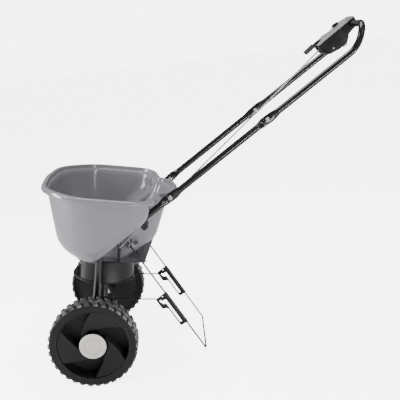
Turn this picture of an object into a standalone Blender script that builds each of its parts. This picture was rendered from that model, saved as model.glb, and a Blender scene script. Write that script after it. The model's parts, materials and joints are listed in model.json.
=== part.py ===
"""Walk-behind broadcast garden spreader, modelled in metres with +Z up.

The spreader stands on its two wheels and its wire stand, so everything except the wheels leans back
by PARK_TILT about the axle. Each piece is drawn in the machine's own frame, where the hopper is
level, the axle runs along X through the origin, travel is towards -Y and the handle rises towards
+Y. One empty, placed on the axle line, carries all the pieces and applies the lean.
"""

import math

import bmesh
import bpy
from mathutils import Matrix, Vector

MM = 0.001

# Overall sizes
WHEEL_RADIUS = 125 * MM
WHEEL_WIDTH = 57 * MM
TRACK_HALF = 251 * MM
PARK_TILT = math.radians(12.0)
RUNNING_GAP = 0.3 * MM

# Tube frame
TUBE_RADIUS = 9.5 * MM
TUBE_WALL = 1.3 * MM
TUBE_X = 129 * MM
LEG_Y = -8 * MM
BEND_Z = 225 * MM
BEND_RADIUS = 42 * MM
HANDLE_SLOPE = math.radians(44.2)
LOWER_JOINT_RUN = 264 * MM
UPPER_JOINT_RUN = 611 * MM
HANDLE_TOP_RUN = 918 * MM
HANDLE_RISE = 64 * MM
FLAT_THICKNESS = 5 * MM
FLAT_WIDTH = 26 * MM
FLAT_PAST_SCREW = 13 * MM
FLAT_BLEND = 26 * MM
FOOT_FLAT = 80 * MM
FOOT_BLEND = 45 * MM

# Fasteners
JOINT_SCREW_RADIUS = 3 * MM
JOINT_HEAD_RADIUS = 7 * MM
JOINT_HEAD_HEIGHT = 4 * MM
NUT_WIDTH = 12 * MM
NUT_HEIGHT = 5 * MM
PLATE_SCREW_RADIUS = 2 * MM
PLATE_HEAD_RADIUS = 4 * MM

# Hopper
RIM_Z = 415 * MM
RIM_LIP = 14 * MM
RIM_HEIGHT = 14 * MM
RIM_ROUNDING = 5 * MM
HOPPER_WALL = 3 * MM
HOPPER_HALF_WIDTH = 228 * MM
HOPPER_FRONT = 176 * MM
HOPPER_REAR = 112 * MM
SIDE_FLOOR_Z = 197 * MM
SUMP_FLOOR_Z = 190 * MM
SUMP_HALF_WIDTH = 62 * MM
LOBE_HALF_WIDTH = 92 * MM
LOBE_REAR = 190 * MM
GROOVE_GAP = 2 * MM
GROOVE_DEPTH = 6 * MM

# Discharge: ports, shut-off gate, plate and shroud
PORT_RADIUS = 5.5 * MM
PORT_CIRCLE = 30 * MM
GATE_THICKNESS = 2 * MM
GATE_TRAVEL = 11.8 * MM
PLATE_THICKNESS = 3 * MM
SHROUD_RADIUS = 90 * MM
SHROUD_WALL = 2.5 * MM
SHROUD_BOTTOM = 120 * MM
SHROUD_LIP = 4 * MM

# Drive
AXLE_RADIUS = 6 * MM
SHAFT_ACROSS_FLATS = 8 * MM
CROWN_TEETH = 32
PINION_TEETH = 8
CROWN_RADIUS = 41 * MM
GEARBOX_RADIUS = 48 * MM
GEARBOX_WALL = 3 * MM
IMPELLER_RADIUS = 74 * MM
IMPELLER_Z = 134 * MM

# Wheel
LUG_COUNT = 34
LUG_HEIGHT = 5.5 * MM
LUG_SLANT = 4 * MM
DISH_RADIUS = 97 * MM
HUB_RADIUS = 27 * MM
HUB_INNER_X = 150 * MM
CAP_RADIUS = 37.5 * MM
CAP_PROUD = 6 * MM

# Stand and its struts
STAND_WIRE = 2.5 * MM
STAND_X = 111.5 * MM
STAND_PIVOT = (80 * MM, 250 * MM)
STAND_ANGLE = math.radians(-50.8)
STRUT_WIRE = 2 * MM
STRUT_X = 104 * MM
STRUT_PIVOT = (36 * MM, 80 * MM)
BRACKET_SCREW_Z = 40 * MM
CLIP_START = 174 * MM
CLIP_LENGTH = 115 * MM
CLIP_HEAD = 38 * MM
CLIP_DEPTH = 36 * MM
CLIP_TAIL_DEPTH = 21 * MM
CLIP_THICKNESS = 4 * MM
SLOT_WIDTH = 6.5 * MM

# Control rod and console
ROD_RADIUS = 2.2 * MM
ROD_FOOT = (100 * MM, 46 * MM, 238 * MM)
ROD_HEAD = (0.0, 590 * MM, 864 * MM)
LEVER_ARM = 22 * MM
LEVER_SWING = math.radians(48.6)
GUIDE_RUN = 154 * MM
GUIDE_PEG = 3 * MM
CONSOLE_HALF_WIDTH = 27 * MM
CONSOLE_WALL = 2.5 * MM

ROUND = 20
SLOPE_DIR = Vector((0.0, math.cos(HANDLE_SLOPE), math.sin(HANDLE_SLOPE)))
SLOPE_DOWN = Vector((0.0, math.sin(HANDLE_SLOPE), -math.cos(HANDLE_SLOPE)))
BEND = Vector((0.0, LEG_Y, BEND_Z))


# ---------------------------------------------------------------- scene and helpers


def clear_scene():
    for obj in list(bpy.data.objects):
        bpy.data.objects.remove(obj, do_unlink=True)


def new_collection(name):
    collection = bpy.data.collections.new(name)
    bpy.context.scene.collection.children.link(collection)
    return collection


clear_scene()
PARTS = new_collection("garden_spreader")
CUTTERS = new_collection("cutters")
MATERIALS = {}


def make_material(name, colour, roughness, metallic=0.0):
    material = bpy.data.materials.new(name)
    material.use_nodes = True
    shader = material.node_tree.nodes["Principled BSDF"]
    shader.inputs["Base Color"].default_value = (*colour, 1.0)
    shader.inputs["Roughness"].default_value = roughness
    shader.inputs["Metallic"].default_value = metallic
    MATERIALS[name] = material


def make_materials():
    make_material("hopper_plastic", (0.30, 0.30, 0.33), 0.3)
    make_material("frame_paint", (0.01, 0.01, 0.012), 0.25)
    make_material("black_plastic", (0.015, 0.015, 0.017), 0.45)
    make_material("wheel_plastic", (0.02, 0.02, 0.022), 0.5)
    make_material("cap_plastic", (0.62, 0.60, 0.56), 0.4)
    make_material("zinc_steel", (0.6, 0.6, 0.6), 0.3, 1.0)
    make_material("clear_grey", (0.5, 0.5, 0.52), 0.2)
    make_material("gear_plastic", (0.7, 0.7, 0.66), 0.5)
    make_material("grip_rubber", (0.02, 0.02, 0.02), 0.7)


def machine_empty():
    """The carrier of every piece: on the axle line, leaning back by the parking tilt."""
    rear = axle_to_world(0.0, handle_rear().y, handle_rear().z).y + TUBE_RADIUS
    empty = bpy.data.objects.new("machine", None)
    empty.location = (0.0, (WHEEL_RADIUS - rear) / 2, WHEEL_RADIUS)
    empty.rotation_euler = (-PARK_TILT, 0.0, 0.0)
    PARTS.objects.link(empty)
    return empty


def axle_to_world(x, y, z):
    """A point of the leaning machine, still measured from the axle, in upright axes."""
    return Matrix.Rotation(-PARK_TILT, 3, "X") @ Vector((x, y, z))


def handle_rear():
    corner = BEND + SLOPE_DIR * HANDLE_TOP_RUN
    return Vector((0.0, corner.y + 5 * MM, corner.z + HANDLE_RISE))


def add_object(name, mesh, cutter=False):
    obj = bpy.data.objects.new(name, mesh)
    (CUTTERS if cutter else PARTS).objects.link(obj)
    obj.parent = MACHINE
    if cutter:
        obj.hide_render = True
        obj.display_type = "WIRE"
    return obj


def mesh_from(bm, name):
    bmesh.ops.recalc_face_normals(bm, faces=bm.faces)
    mesh = bpy.data.meshes.new(name)
    bm.to_mesh(mesh)
    bm.free()
    return mesh


def finish(obj, material, pivot=(0.0, 0.0, 0.0)):
    """Gives a piece its material and moves its origin to the joint axis it turns or slides on."""
    obj.data.materials.clear()
    obj.data.materials.append(MATERIALS[material])
    obj.data.transform(Matrix.Translation(-Vector(pivot)))
    obj.location = pivot
    obj.data.shade_smooth()
    obj.data.set_sharp_from_angle(angle=math.radians(35))
    return obj


def turn_to(direction):
    return Vector((0, 0, 1)).rotation_difference(Vector(direction)).to_matrix().to_4x4()


def rod(name, start, end, radius, end_radius=None, sides=ROUND, cutter=False, spin=0.0):
    """A cylinder, cone or prism between two points."""
    start, end = Vector(start), Vector(end)
    bm = bmesh.new()
    frame = Matrix.Translation((start + end) / 2) @ turn_to(end - start) @ Matrix.Rotation(spin, 4, "Z")
    bmesh.ops.create_cone(
        bm,
        cap_ends=True,
        segments=sides,
        radius1=radius,
        radius2=radius if end_radius is None else end_radius,
        depth=(end - start).length,
        matrix=frame,
    )
    return add_object(name, mesh_from(bm, name), cutter)


def block(name, low, high, cutter=False):
    low, high = Vector(low), Vector(high)
    bm = bmesh.new()
    frame = Matrix.Translation((low + high) / 2) @ Matrix.Diagonal((*(high - low), 1.0))
    bmesh.ops.create_cube(bm, size=1.0, matrix=frame)
    return add_object(name, mesh_from(bm, name), cutter)


PLANES = {
    "X": Matrix(((0, 0, 1, 0), (1, 0, 0, 0), (0, 1, 0, 0), (0, 0, 0, 1))),
    "Y": Matrix(((1, 0, 0, 0), (0, 0, -1, 0), (0, 1, 0, 0), (0, 0, 0, 1))),
    "Z": Matrix.Identity(4),
}


def curve_mesh(curve, name, frame):
    """A curve's solid as a welded mesh, carried into the machine's frame."""
    holder = bpy.data.objects.new(name, curve)
    CUTTERS.objects.link(holder)
    bpy.context.view_layer.update()
    evaluated = holder.evaluated_get(bpy.context.evaluated_depsgraph_get())
    mesh = bpy.data.meshes.new_from_object(evaluated)
    bpy.data.objects.remove(holder, do_unlink=True)
    mesh.transform(frame)
    bm = bmesh.new()
    bm.from_mesh(mesh)
    bmesh.ops.remove_doubles(bm, verts=bm.verts, dist=1e-6)
    bpy.data.meshes.remove(mesh)
    return mesh_from(bm, name)


def plate(name, outline, axis, start, end, cutter=False, holes=()):
    """A flat outline, with any holes, extruded along an axis; outlines are in the other two axes."""
    curve = bpy.data.curves.new(name, "CURVE")
    curve.dimensions = "2D"
    curve.fill_mode = "BOTH"
    curve.extrude = (end - start) / 2
    for loop in (outline, *holes):
        spline = curve.splines.new("POLY")
        spline.points.add(len(loop) - 1)
        for point, place in zip(spline.points, loop):
            point.co = (place[0], place[1], 0.0, 1.0)
        spline.use_cyclic_u = True
    middle = (start + end) / 2
    shift = middle if axis != "Y" else -middle
    frame = PLANES[axis] @ Matrix.Translation((0, 0, shift))
    return add_object(name, curve_mesh(curve, name, frame), cutter)


def wire(name, points, radius, cutter=False, resolution=2):
    """A round bar along a polyline, with flat ends."""
    curve = bpy.data.curves.new(name, "CURVE")
    curve.dimensions = "3D"
    curve.bevel_depth = radius
    curve.bevel_resolution = resolution
    curve.use_fill_caps = True
    spline = curve.splines.new("POLY")
    spline.points.add(len(points) - 1)
    for point, place in zip(spline.points, points):
        point.co = (*place, 1.0)
    return add_object(name, curve_mesh(curve, name, Matrix.Identity(4)), cutter)


def turned(name, profile, axis_x_sign=1.0, steps=36):
    """A profile of (radius, x) pairs, listed down its outer side, turned about the X axis."""
    mesh = bpy.data.meshes.new(name)
    bm = bmesh.new()
    points = [bm.verts.new((radius, 0.0, x)) for radius, x in profile]
    for first, second in zip(points, points[1:] + points[:1]):
        if first.co.x > 1e-9 or second.co.x > 1e-9:
            bm.edges.new((first, second))
    bm.to_mesh(mesh)
    bm.free()
    obj = add_object(name, mesh)
    screw = obj.modifiers.new("turn", "SCREW")
    screw.axis = "Z"
    screw.steps = steps
    screw.render_steps = steps
    screw.use_merge_vertices = True
    screw.merge_threshold = 0.00001
    lay = Matrix.Rotation(math.radians(90), 4, "Y")
    if axis_x_sign < 0:
        lay = Matrix.Rotation(math.radians(-90), 4, "Y")
    bpy.context.view_layer.update()
    solid = bpy.data.meshes.new_from_object(obj.evaluated_get(bpy.context.evaluated_depsgraph_get()))
    bpy.data.objects.remove(obj, do_unlink=True)
    solid.transform(lay)
    bm = bmesh.new()
    bm.from_mesh(solid)
    bmesh.ops.remove_doubles(bm, verts=bm.verts, dist=1e-6)
    return add_object(name, mesh_from(bm, name))


def combine(obj, other, operation):
    modifier = obj.modifiers.new(operation.lower(), "BOOLEAN")
    modifier.object = other
    modifier.operation = operation
    modifier.solver = "EXACT"
    return obj


def cut(obj, *tools):
    for tool in tools:
        combine(obj, tool, "DIFFERENCE")
    return obj


def join(obj, *tools):
    for tool in tools:
        combine(obj, tool, "UNION")
    return obj


def rounded(points, radii, closed=True, steps=4):
    """A polyline with each corner replaced by an arc of its own radius."""
    points = [Vector(point) for point in points]
    result = []
    count = len(points)
    for index, (corner, radius) in enumerate(zip(points, radii)):
        if radius <= 0 or (not closed and index in (0, count - 1)):
            result.append(corner)
            continue
        back = (points[index - 1] - corner).normalized()
        ahead = (points[(index + 1) % count] - corner).normalized()
        half = back.angle(ahead) / 2
        reach = radius / math.tan(half)
        centre = corner + (back + ahead).normalized() * (radius / math.sin(half))
        first = corner + back * reach - centre
        last = corner + ahead * reach - centre
        sweep = first.angle(last)
        for step in range(steps + 1):
            share = step / steps
            blend = (first * math.sin((1 - share) * sweep) + last * math.sin(share * sweep)) / math.sin(sweep)
            result.append(centre + blend)
    return result


def inset(points, distance):
    """A closed outline, listed anticlockwise, moved inwards by a wall's thickness."""
    moved = []
    count = len(points)
    for index in range(count):
        before, here, after = (Vector(points[(index + step) % count]) for step in (-1, 0, 1))
        first = (here - before).normalized()
        second = (after - here).normalized()
        normal_one = Vector((-first.y, first.x))
        normal_two = Vector((-second.y, second.x))
        direction = (normal_one + normal_two).normalized()
        moved.append(here + direction * (distance / direction.dot(normal_one)))
    return moved


def loft(name, loops, cutter=False):
    """A solid through closed loops of equal point count, capped at both ends."""
    bm = bmesh.new()
    rings = [[bm.verts.new(point) for point in loop] for loop in loops]
    for lower, upper in zip(rings, rings[1:]):
        count = len(lower)
        for index in range(count):
            after = (index + 1) % count
            bm.faces.new((lower[index], lower[after], upper[after], upper[index]))
    bm.faces.new(rings[0])
    bm.faces.new(rings[-1])
    return add_object(name, mesh_from(bm, name), cutter)


def screw(name, head_at, direction, length, radius, head_radius, head_height, sides=12):
    """A pan-head screw: the point under its head, the way it drives, and its shank's length."""
    head_at, direction = Vector(head_at), Vector(direction).normalized()
    obj = rod(name, head_at, head_at - direction * head_height, head_radius, head_radius * 0.72, sides)
    shank = rod(name + "_shank", head_at - direction * head_height / 2, head_at + direction * length, radius,
                sides=sides, cutter=True)
    return finish(join(obj, shank), "zinc_steel")


# ---------------------------------------------------------------- tube frame


def on_slope(run, side=0.0, x=0.0):
    """A point along the handle line, measured from the bend; side is below the line."""
    return BEND + SLOPE_DIR * run + SLOPE_DOWN * side + Vector((x, 0.0, 0.0))


def tube_ring(centre, tangent, across, half_x, half_n):
    """One closed section of a tube; across is the section's own first axis."""
    normal = tangent.cross(across).normalized()
    across = normal.cross(tangent).normalized()
    sides = 10
    return [
        centre + across * (half_x * math.cos(turn)) + normal * (half_n * math.sin(turn))
        for turn in (2 * math.pi * index / sides for index in range(sides))
    ]


JOINT_FLAT = (FLAT_PAST_SCREW + FLAT_WIDTH / 2, FLAT_BLEND)
FOOT_PRESS = (FOOT_FLAT, FOOT_BLEND)


def flattened(distance, press):
    """How flat a tube is at a distance back from a pressed end: 1 is flat, 0 is round."""
    share = min(max((distance - press[0]) / press[1], 0.0), 1.0)
    return 1.0 - share * share * (3 - 2 * share)


def tube(name, path, press_start, press_end, shift_start=0.0, shift_end=0.0):
    """A hollow tube with both ends pressed flat, which may be set sideways to lie beside the next."""
    path = split_runs(path, press_start, press_end)
    lengths = [0.0]
    for first, second in zip(path, path[1:]):
        lengths.append(lengths[-1] + (second - first).length)
    total = lengths[-1]
    outer, inner = [], []
    across = Vector((1.0, 0.0, 0.0))
    for index, centre in enumerate(path):
        ahead = path[min(index + 1, len(path) - 1)]
        behind = path[max(index - 1, 0)]
        tangent = (ahead - behind).normalized()
        across = (across - tangent * across.dot(tangent)).normalized()
        start = flattened(lengths[index], press_start)
        end = flattened(total - lengths[index], press_end)
        flat = max(start, end)
        place = centre + Vector((start * shift_start + end * shift_end, 0.0, 0.0))
        half_x = TUBE_RADIUS + (FLAT_THICKNESS / 2 - TUBE_RADIUS) * flat
        half_n = TUBE_RADIUS + (FLAT_WIDTH / 2 - TUBE_RADIUS) * flat
        outer.append(tube_ring(place, tangent, across, half_x, half_n))
        inner.append(tube_ring(place, tangent, across, half_x - TUBE_WALL, half_n - TUBE_WALL))
    bm = bmesh.new()
    shells = [[[bm.verts.new(point) for point in ring] for ring in rings] for rings in (outer, inner)]
    for rings in shells:
        for lower, upper in zip(rings, rings[1:]):
            bridge(bm, lower, upper)
    bridge(bm, shells[0][0], shells[1][0])
    bridge(bm, shells[0][-1], shells[1][-1])
    return add_object(name, mesh_from(bm, name))


def bridge(bm, lower, upper):
    count = len(lower)
    for index in range(count):
        after = (index + 1) % count
        bm.faces.new((lower[index], lower[after], upper[after], upper[index]))


def split_runs(path, press_start, press_end):
    """Adds sections to the straight ends of a path, where the tube changes from flat to round."""
    shares = (0.0, 0.33, 0.67, 1.0)
    first = (path[1] - path[0]).normalized()
    last = (path[-2] - path[-1]).normalized()
    head = [path[0] + first * (press_start[0] + press_start[1] * share) for share in shares]
    tail = [path[-1] + last * (press_end[0] + press_end[1] * share) for share in reversed(shares)]
    return [path[0], *head, *path[1:-1], *tail, path[-1]]


def lower_path(side_x, lift=0.0):
    """The leg and the lower slope, from below the axle to past the lower joint."""
    foot = Vector((side_x, LEG_Y, -FLAT_PAST_SCREW))
    corner = on_slope(0.0, x=side_x)
    top = on_slope(LOWER_JOINT_RUN + FLAT_PAST_SCREW, x=side_x)
    path = rounded((foot, corner, top), (0.0, BEND_RADIUS, 0.0), closed=False)
    return [point + SLOPE_DOWN * lift for point in path]


JOINT_SHIFT = (FLAT_THICKNESS + RUNNING_GAP) / 2


def joint_holes(obj, runs):
    """Clearance holes for the screws that hold two pressed ends together."""
    side = obj.name.rsplit("_", 1)[1]
    for index, run in enumerate(runs):
        for sign in (1, -1):
            if side not in ("handle", "left" if sign > 0 else "right"):
                continue
            centre = on_slope(run, x=sign * TUBE_X)
            reach = Vector((TUBE_RADIUS * 1.6, 0.0, 0.0))
            hole = rod(f"{obj.name}_hole_{index}_{sign}", centre - reach, centre + reach,
                       JOINT_SCREW_RADIUS + RUNNING_GAP, sides=12, cutter=True)
            cut(obj, hole)


def side_tubes(side, sign):
    x = sign * TUBE_X
    lower = tube(f"lower_tube_{side}", lower_path(x), FOOT_PRESS, JOINT_FLAT, shift_end=-sign * JOINT_SHIFT)
    bore = rod(f"lower_tube_{side}_bore", (x - 10 * MM, 0, 0), (x + 10 * MM, 0, 0),
               AXLE_RADIUS + 2.3 * MM, cutter=True, sides=20)
    cut(lower, bore)
    joint_holes(lower, (LOWER_JOINT_RUN,))
    cut(lower, rod(f"lower_tube_{side}_fix", *hopper_screw_line(sign), PLATE_SCREW_RADIUS + RUNNING_GAP,
                   sides=10, cutter=True))
    cut(lower, rod(f"lower_tube_{side}_bracket", (x - 10 * MM, LEG_Y, BRACKET_SCREW_Z),
                   (x + 10 * MM, LEG_Y, BRACKET_SCREW_Z), PLATE_SCREW_RADIUS + RUNNING_GAP, sides=10, cutter=True))
    if sign > 0:
        cut(lower, rod("guide_peg_hole", on_slope(GUIDE_RUN, 0, x), on_slope(GUIDE_RUN, 20 * MM, x),
                       GUIDE_PEG + RUNNING_GAP, sides=12, cutter=True))
    finish(lower, "frame_paint")

    ends = (on_slope(LOWER_JOINT_RUN - FLAT_PAST_SCREW, x=x), on_slope(UPPER_JOINT_RUN + FLAT_PAST_SCREW, x=x))
    middle = tube(f"middle_tube_{side}", ends, JOINT_FLAT, JOINT_FLAT,
                  shift_start=sign * JOINT_SHIFT, shift_end=-sign * JOINT_SHIFT)
    joint_holes(middle, (LOWER_JOINT_RUN, UPPER_JOINT_RUN))
    finish(middle, "frame_paint")


def upper_handle():
    """The U-shaped grip: two straight legs that turn up and meet in a crossbar."""
    corner = on_slope(HANDLE_TOP_RUN)
    top = handle_rear()
    points = []
    for sign in (1, -1):
        x = Vector((sign * TUBE_X, 0.0, 0.0))
        leg = [on_slope(UPPER_JOINT_RUN - FLAT_PAST_SCREW) + x, corner + x, top + x]
        points += leg if sign > 0 else leg[::-1]
    path = rounded(points, (0, 78 * MM, 30 * MM, 30 * MM, 78 * MM, 0), closed=False, steps=4)
    handle = tube("upper_handle", path, JOINT_FLAT, JOINT_FLAT, shift_start=JOINT_SHIFT, shift_end=-JOINT_SHIFT)
    joint_holes(handle, (UPPER_JOINT_RUN,))
    finish(handle, "frame_paint")


def joint_fasteners(side, sign):
    """One screw and one nut at each of the two tube joints of a side."""
    stack = FLAT_THICKNESS + RUNNING_GAP / 2 + RUNNING_GAP
    for label, run in (("lower", LOWER_JOINT_RUN), ("upper", UPPER_JOINT_RUN)):
        centre = on_slope(run, x=sign * TUBE_X)
        outside = centre + Vector((sign * stack, 0, 0))
        inside = centre - Vector((sign * stack, 0, 0))
        screw(f"{label}_joint_screw_{side}", outside, (-sign, 0, 0), 2 * stack + NUT_HEIGHT + 2 * MM,
              JOINT_SCREW_RADIUS, JOINT_HEAD_RADIUS, JOINT_HEAD_HEIGHT, sides=16)
        nut = rod(f"{label}_joint_nut_{side}", inside, inside - Vector((sign * NUT_HEIGHT, 0, 0)),
                  NUT_WIDTH / math.sqrt(3), sides=6)
        bore = rod(nut.name + "_bore", inside + Vector((sign * MM, 0, 0)),
                   inside - Vector((sign * (NUT_HEIGHT + MM), 0, 0)),
                   JOINT_SCREW_RADIUS + RUNNING_GAP, sides=16, cutter=True)
        finish(cut(nut, bore), "zinc_steel")


def hopper_screw_line(sign):
    """The screw that ties a tube into its groove, from inside the hopper to below the tube."""
    reach = TUBE_RADIUS + GROOVE_GAP + HOPPER_WALL + RUNNING_GAP
    return on_slope(75 * MM, -reach, sign * TUBE_X), on_slope(75 * MM, TUBE_RADIUS + 3 * MM, sign * TUBE_X)


def hopper_screws(side, sign):
    start, end = hopper_screw_line(sign)
    screw(f"hopper_screw_{side}", start, end - start, (end - start).length, PLATE_SCREW_RADIUS,
          PLATE_HEAD_RADIUS, 2.5 * MM)


def axle_bushings(side, sign):
    """A flanged plastic bearing in the foot of each leg, long enough to space the wheel."""
    face = TUBE_X + FLAT_THICKNESS / 2
    inner_x = TUBE_X - FLAT_THICKNESS / 2 - 3 * MM
    bore = AXLE_RADIUS + RUNNING_GAP
    outer = AXLE_RADIUS + 2 * MM
    flange = AXLE_RADIUS + 6 * MM
    spacer = HUB_INNER_X - RUNNING_GAP
    profile = [(outer, inner_x), (outer, face + RUNNING_GAP), (flange, face + RUNNING_GAP),
               (flange, face + 2.5 * MM), (outer, face + 2.5 * MM), (outer, spacer), (bore, spacer), (bore, inner_x)]
    finish(turned(f"axle_bushing_{side}", profile, sign, 16), "gear_plastic")


# ---------------------------------------------------------------- hopper


def scaled(points, width, front):
    """The plan outline at a lower level: narrower, and with its front wall drawn back."""
    return [Vector((x * width, y * front if y < 0 else y)) for x, y in points]


def main_plan():
    """Corners and radii of the wide bucket's plan, anticlockwise from its rear left corner."""
    side = HOPPER_HALF_WIDTH
    rear = HOPPER_REAR
    cheek = LOBE_HALF_WIDTH
    front = -HOPPER_FRONT
    corners = [(side, rear), (cheek, rear + 36 * MM), (-cheek, rear + 36 * MM), (-side, rear),
               (-side, front * 0.45), (-side * 0.7, front + 16 * MM), (0, front),
               (side * 0.7, front + 16 * MM), (side, front * 0.45)]
    radii = [20 * MM, 0, 0, 20 * MM, 80 * MM, 80 * MM, 400 * MM, 80 * MM, 80 * MM]
    return corners, radii


def lobe_plan(half_width, rear, front):
    corners = [(half_width, front), (half_width, rear - 42 * MM), (half_width * 0.58, rear - 10 * MM),
               (0, rear), (-half_width * 0.58, rear - 10 * MM), (-half_width, rear - 42 * MM),
               (-half_width, front)]
    return corners, [0, 30 * MM, 30 * MM, 60 * MM, 30 * MM, 30 * MM, 0]


def level(points, z):
    return [Vector((x, y, z)) for x, y in points]


def plan_loft(name, plan_top, plan_low, z_low, z_top, wall, headroom):
    """The tapered prism between two plans, moved in by a wall when it is the cavity."""
    loops = []
    for (corners, radii), z in ((plan_low, z_low), (plan_top, z_top)):
        outline = inset(corners, wall) if wall else [Vector(corner) for corner in corners]
        radii = [max(radius - wall, 0) for radius in radii]
        loops.append(level(rounded(outline, radii), z))
    if headroom:
        loops.append([point + Vector((0, 0, headroom)) for point in loops[-1]])
    return loft(name, loops, cutter=True)


def groove_tools(name, radius):
    """Cutters that make the open grooves in which the two lower tubes lie."""
    tools = []
    for sign in (1, -1):
        for index, lift in enumerate((0.0, GROOVE_DEPTH)):
            path = lower_path(sign * TUBE_X, lift)
            tools.append(wire(f"{name}_{index}_{sign}", path, radius, cutter=True, resolution=2))
    return tools


def bucket(name, wall):
    """The solid or, with a wall, the cavity of the wide bucket and the rear lobe together."""
    top = main_plan()
    share = 0.8
    low = (scaled(top[0], share, 0.74), [radius * share for radius in top[1]])
    headroom = 15 * MM if wall else 0.0
    low_z = SUMP_FLOOR_Z
    main = plan_loft(name, top, low, low_z, RIM_Z - 2 * MM, wall, headroom)

    cheek = on_slope(0.0, GROOVE_DEPTH)
    slope = math.tan(HANDLE_SLOPE)
    foot_y = cheek.y - (cheek.z - SIDE_FLOOR_Z) / slope
    rear_y = HOPPER_REAR + 13 * MM
    rear_z = cheek.z + (rear_y - cheek.y) * slope
    drawn = 0.26 * HOPPER_FRONT
    side_outline = [(-HOPPER_FRONT - 2 * MM, RIM_Z), (-HOPPER_FRONT + drawn - 2 * MM, SIDE_FLOOR_Z),
                    (foot_y, SIDE_FLOOR_Z), (rear_y, rear_z), (rear_y, RIM_Z)]
    radii = [0, 45 * MM, 30 * MM, 42 * MM, 0]
    side_outline = inset(side_outline, wall)
    side_outline = rounded(side_outline, [max(radius - wall, 0) for radius in radii])
    side_outline[0].y = side_outline[-1].y = RIM_Z + headroom + 5 * MM
    reach = HOPPER_HALF_WIDTH + 20 * MM
    combine(main, plate(f"{name}_side", side_outline, "X", -reach, reach, cutter=True), "INTERSECT")

    half = HOPPER_HALF_WIDTH + 2 * MM
    low_half = half - 0.2 * HOPPER_HALF_WIDTH
    front_outline = [(half, RIM_Z), (-half, RIM_Z), (-low_half, SIDE_FLOOR_Z), (low_half, SIDE_FLOOR_Z)]
    front_outline = inset(front_outline, wall)
    front_outline = rounded(front_outline, [0, 0, 55 * MM - wall, 55 * MM - wall])
    for point in front_outline[:2]:
        point.y = RIM_Z + headroom + 5 * MM
    combine(main, plate(f"{name}_front", front_outline, "Y", -reach, reach, cutter=True), "INTERSECT")

    lobe_top = lobe_plan(LOBE_HALF_WIDTH, LOBE_REAR, 0.0)
    lobe_low = lobe_plan(SUMP_HALF_WIDTH, LOBE_REAR - 60 * MM, -60 * MM)
    lobe = plan_loft(f"{name}_lobe", lobe_top, lobe_low, SUMP_FLOOR_Z - 5 * MM, RIM_Z - 2 * MM, wall, headroom)
    lobe_outline = [(-70 * MM, SUMP_FLOOR_Z), (75 * MM, SUMP_FLOOR_Z), (153 * MM, 256 * MM),
                    (172 * MM, 350 * MM), (LOBE_REAR + 4 * MM, 402 * MM), (LOBE_REAR + 4 * MM, RIM_Z),
                    (-70 * MM, RIM_Z)]
    lobe_outline = inset(lobe_outline, wall)
    lobe_outline = rounded(lobe_outline, [0, 15 * MM, 18 * MM, 60 * MM, 10 * MM, 0, 0])
    for point in (lobe_outline[-1], lobe_outline[-2]):
        point.y = RIM_Z + headroom + 5 * MM
    lobe_reach = LOBE_HALF_WIDTH + 20 * MM
    lobe_side = plate(f"{name}_lobe_side", lobe_outline, "X", -lobe_reach, lobe_reach, cutter=True)
    combine(lobe, lobe_side, "INTERSECT")
    join(main, lobe)
    tools = groove_tools(f"{name}_groove", TUBE_RADIUS + GROOVE_GAP + wall)
    return cut(main, *tools)


def rim_solid():
    """The rolled lip round the hopper's mouth, as a plain ring that the cavity opens."""
    side = HOPPER_HALF_WIDTH + RIM_LIP
    front = -HOPPER_FRONT - RIM_LIP
    rear = HOPPER_REAR + 6 * MM
    lobe = LOBE_HALF_WIDTH + 8 * MM
    back = LOBE_REAR + RIM_LIP
    corners = [(side, rear), (lobe, rear + 44 * MM), (lobe * 0.62, back - 13 * MM), (0, back),
               (-lobe * 0.62, back - 13 * MM), (-lobe, rear + 44 * MM), (-side, rear), (-side, front * 0.45),
               (-side * 0.7, front + 17 * MM), (0, front), (side * 0.7, front + 17 * MM), (side, front * 0.45)]
    radii = [22 * MM, 30 * MM, 40 * MM, 90 * MM, 40 * MM, 30 * MM, 22 * MM, 84 * MM, 84 * MM, 420 * MM, 84 * MM,
             84 * MM]
    loops = []
    for step_in, z in ((0.0, RIM_Z - RIM_HEIGHT), (0.0, RIM_Z - RIM_ROUNDING),
                       (RIM_ROUNDING * 0.35, RIM_Z - RIM_ROUNDING * 0.35), (RIM_ROUNDING, RIM_Z)):
        outline = inset(corners, step_in)
        loops.append(level(rounded(outline, [radius - step_in for radius in radii]), z))
    return loft("rim_tool", loops, cutter=True)


def port_places():
    """The three discharge ports, spread over the front half of the sump floor."""
    for angle in (-150, -90, -30):
        turn = math.radians(angle)
        yield PORT_CIRCLE * math.cos(turn), PORT_CIRCLE * math.sin(turn)


def plate_screw_places():
    for sign in (1, -1):
        yield sign * 51 * MM, -46 * MM
        yield sign * 22 * MM, 68 * MM


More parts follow.
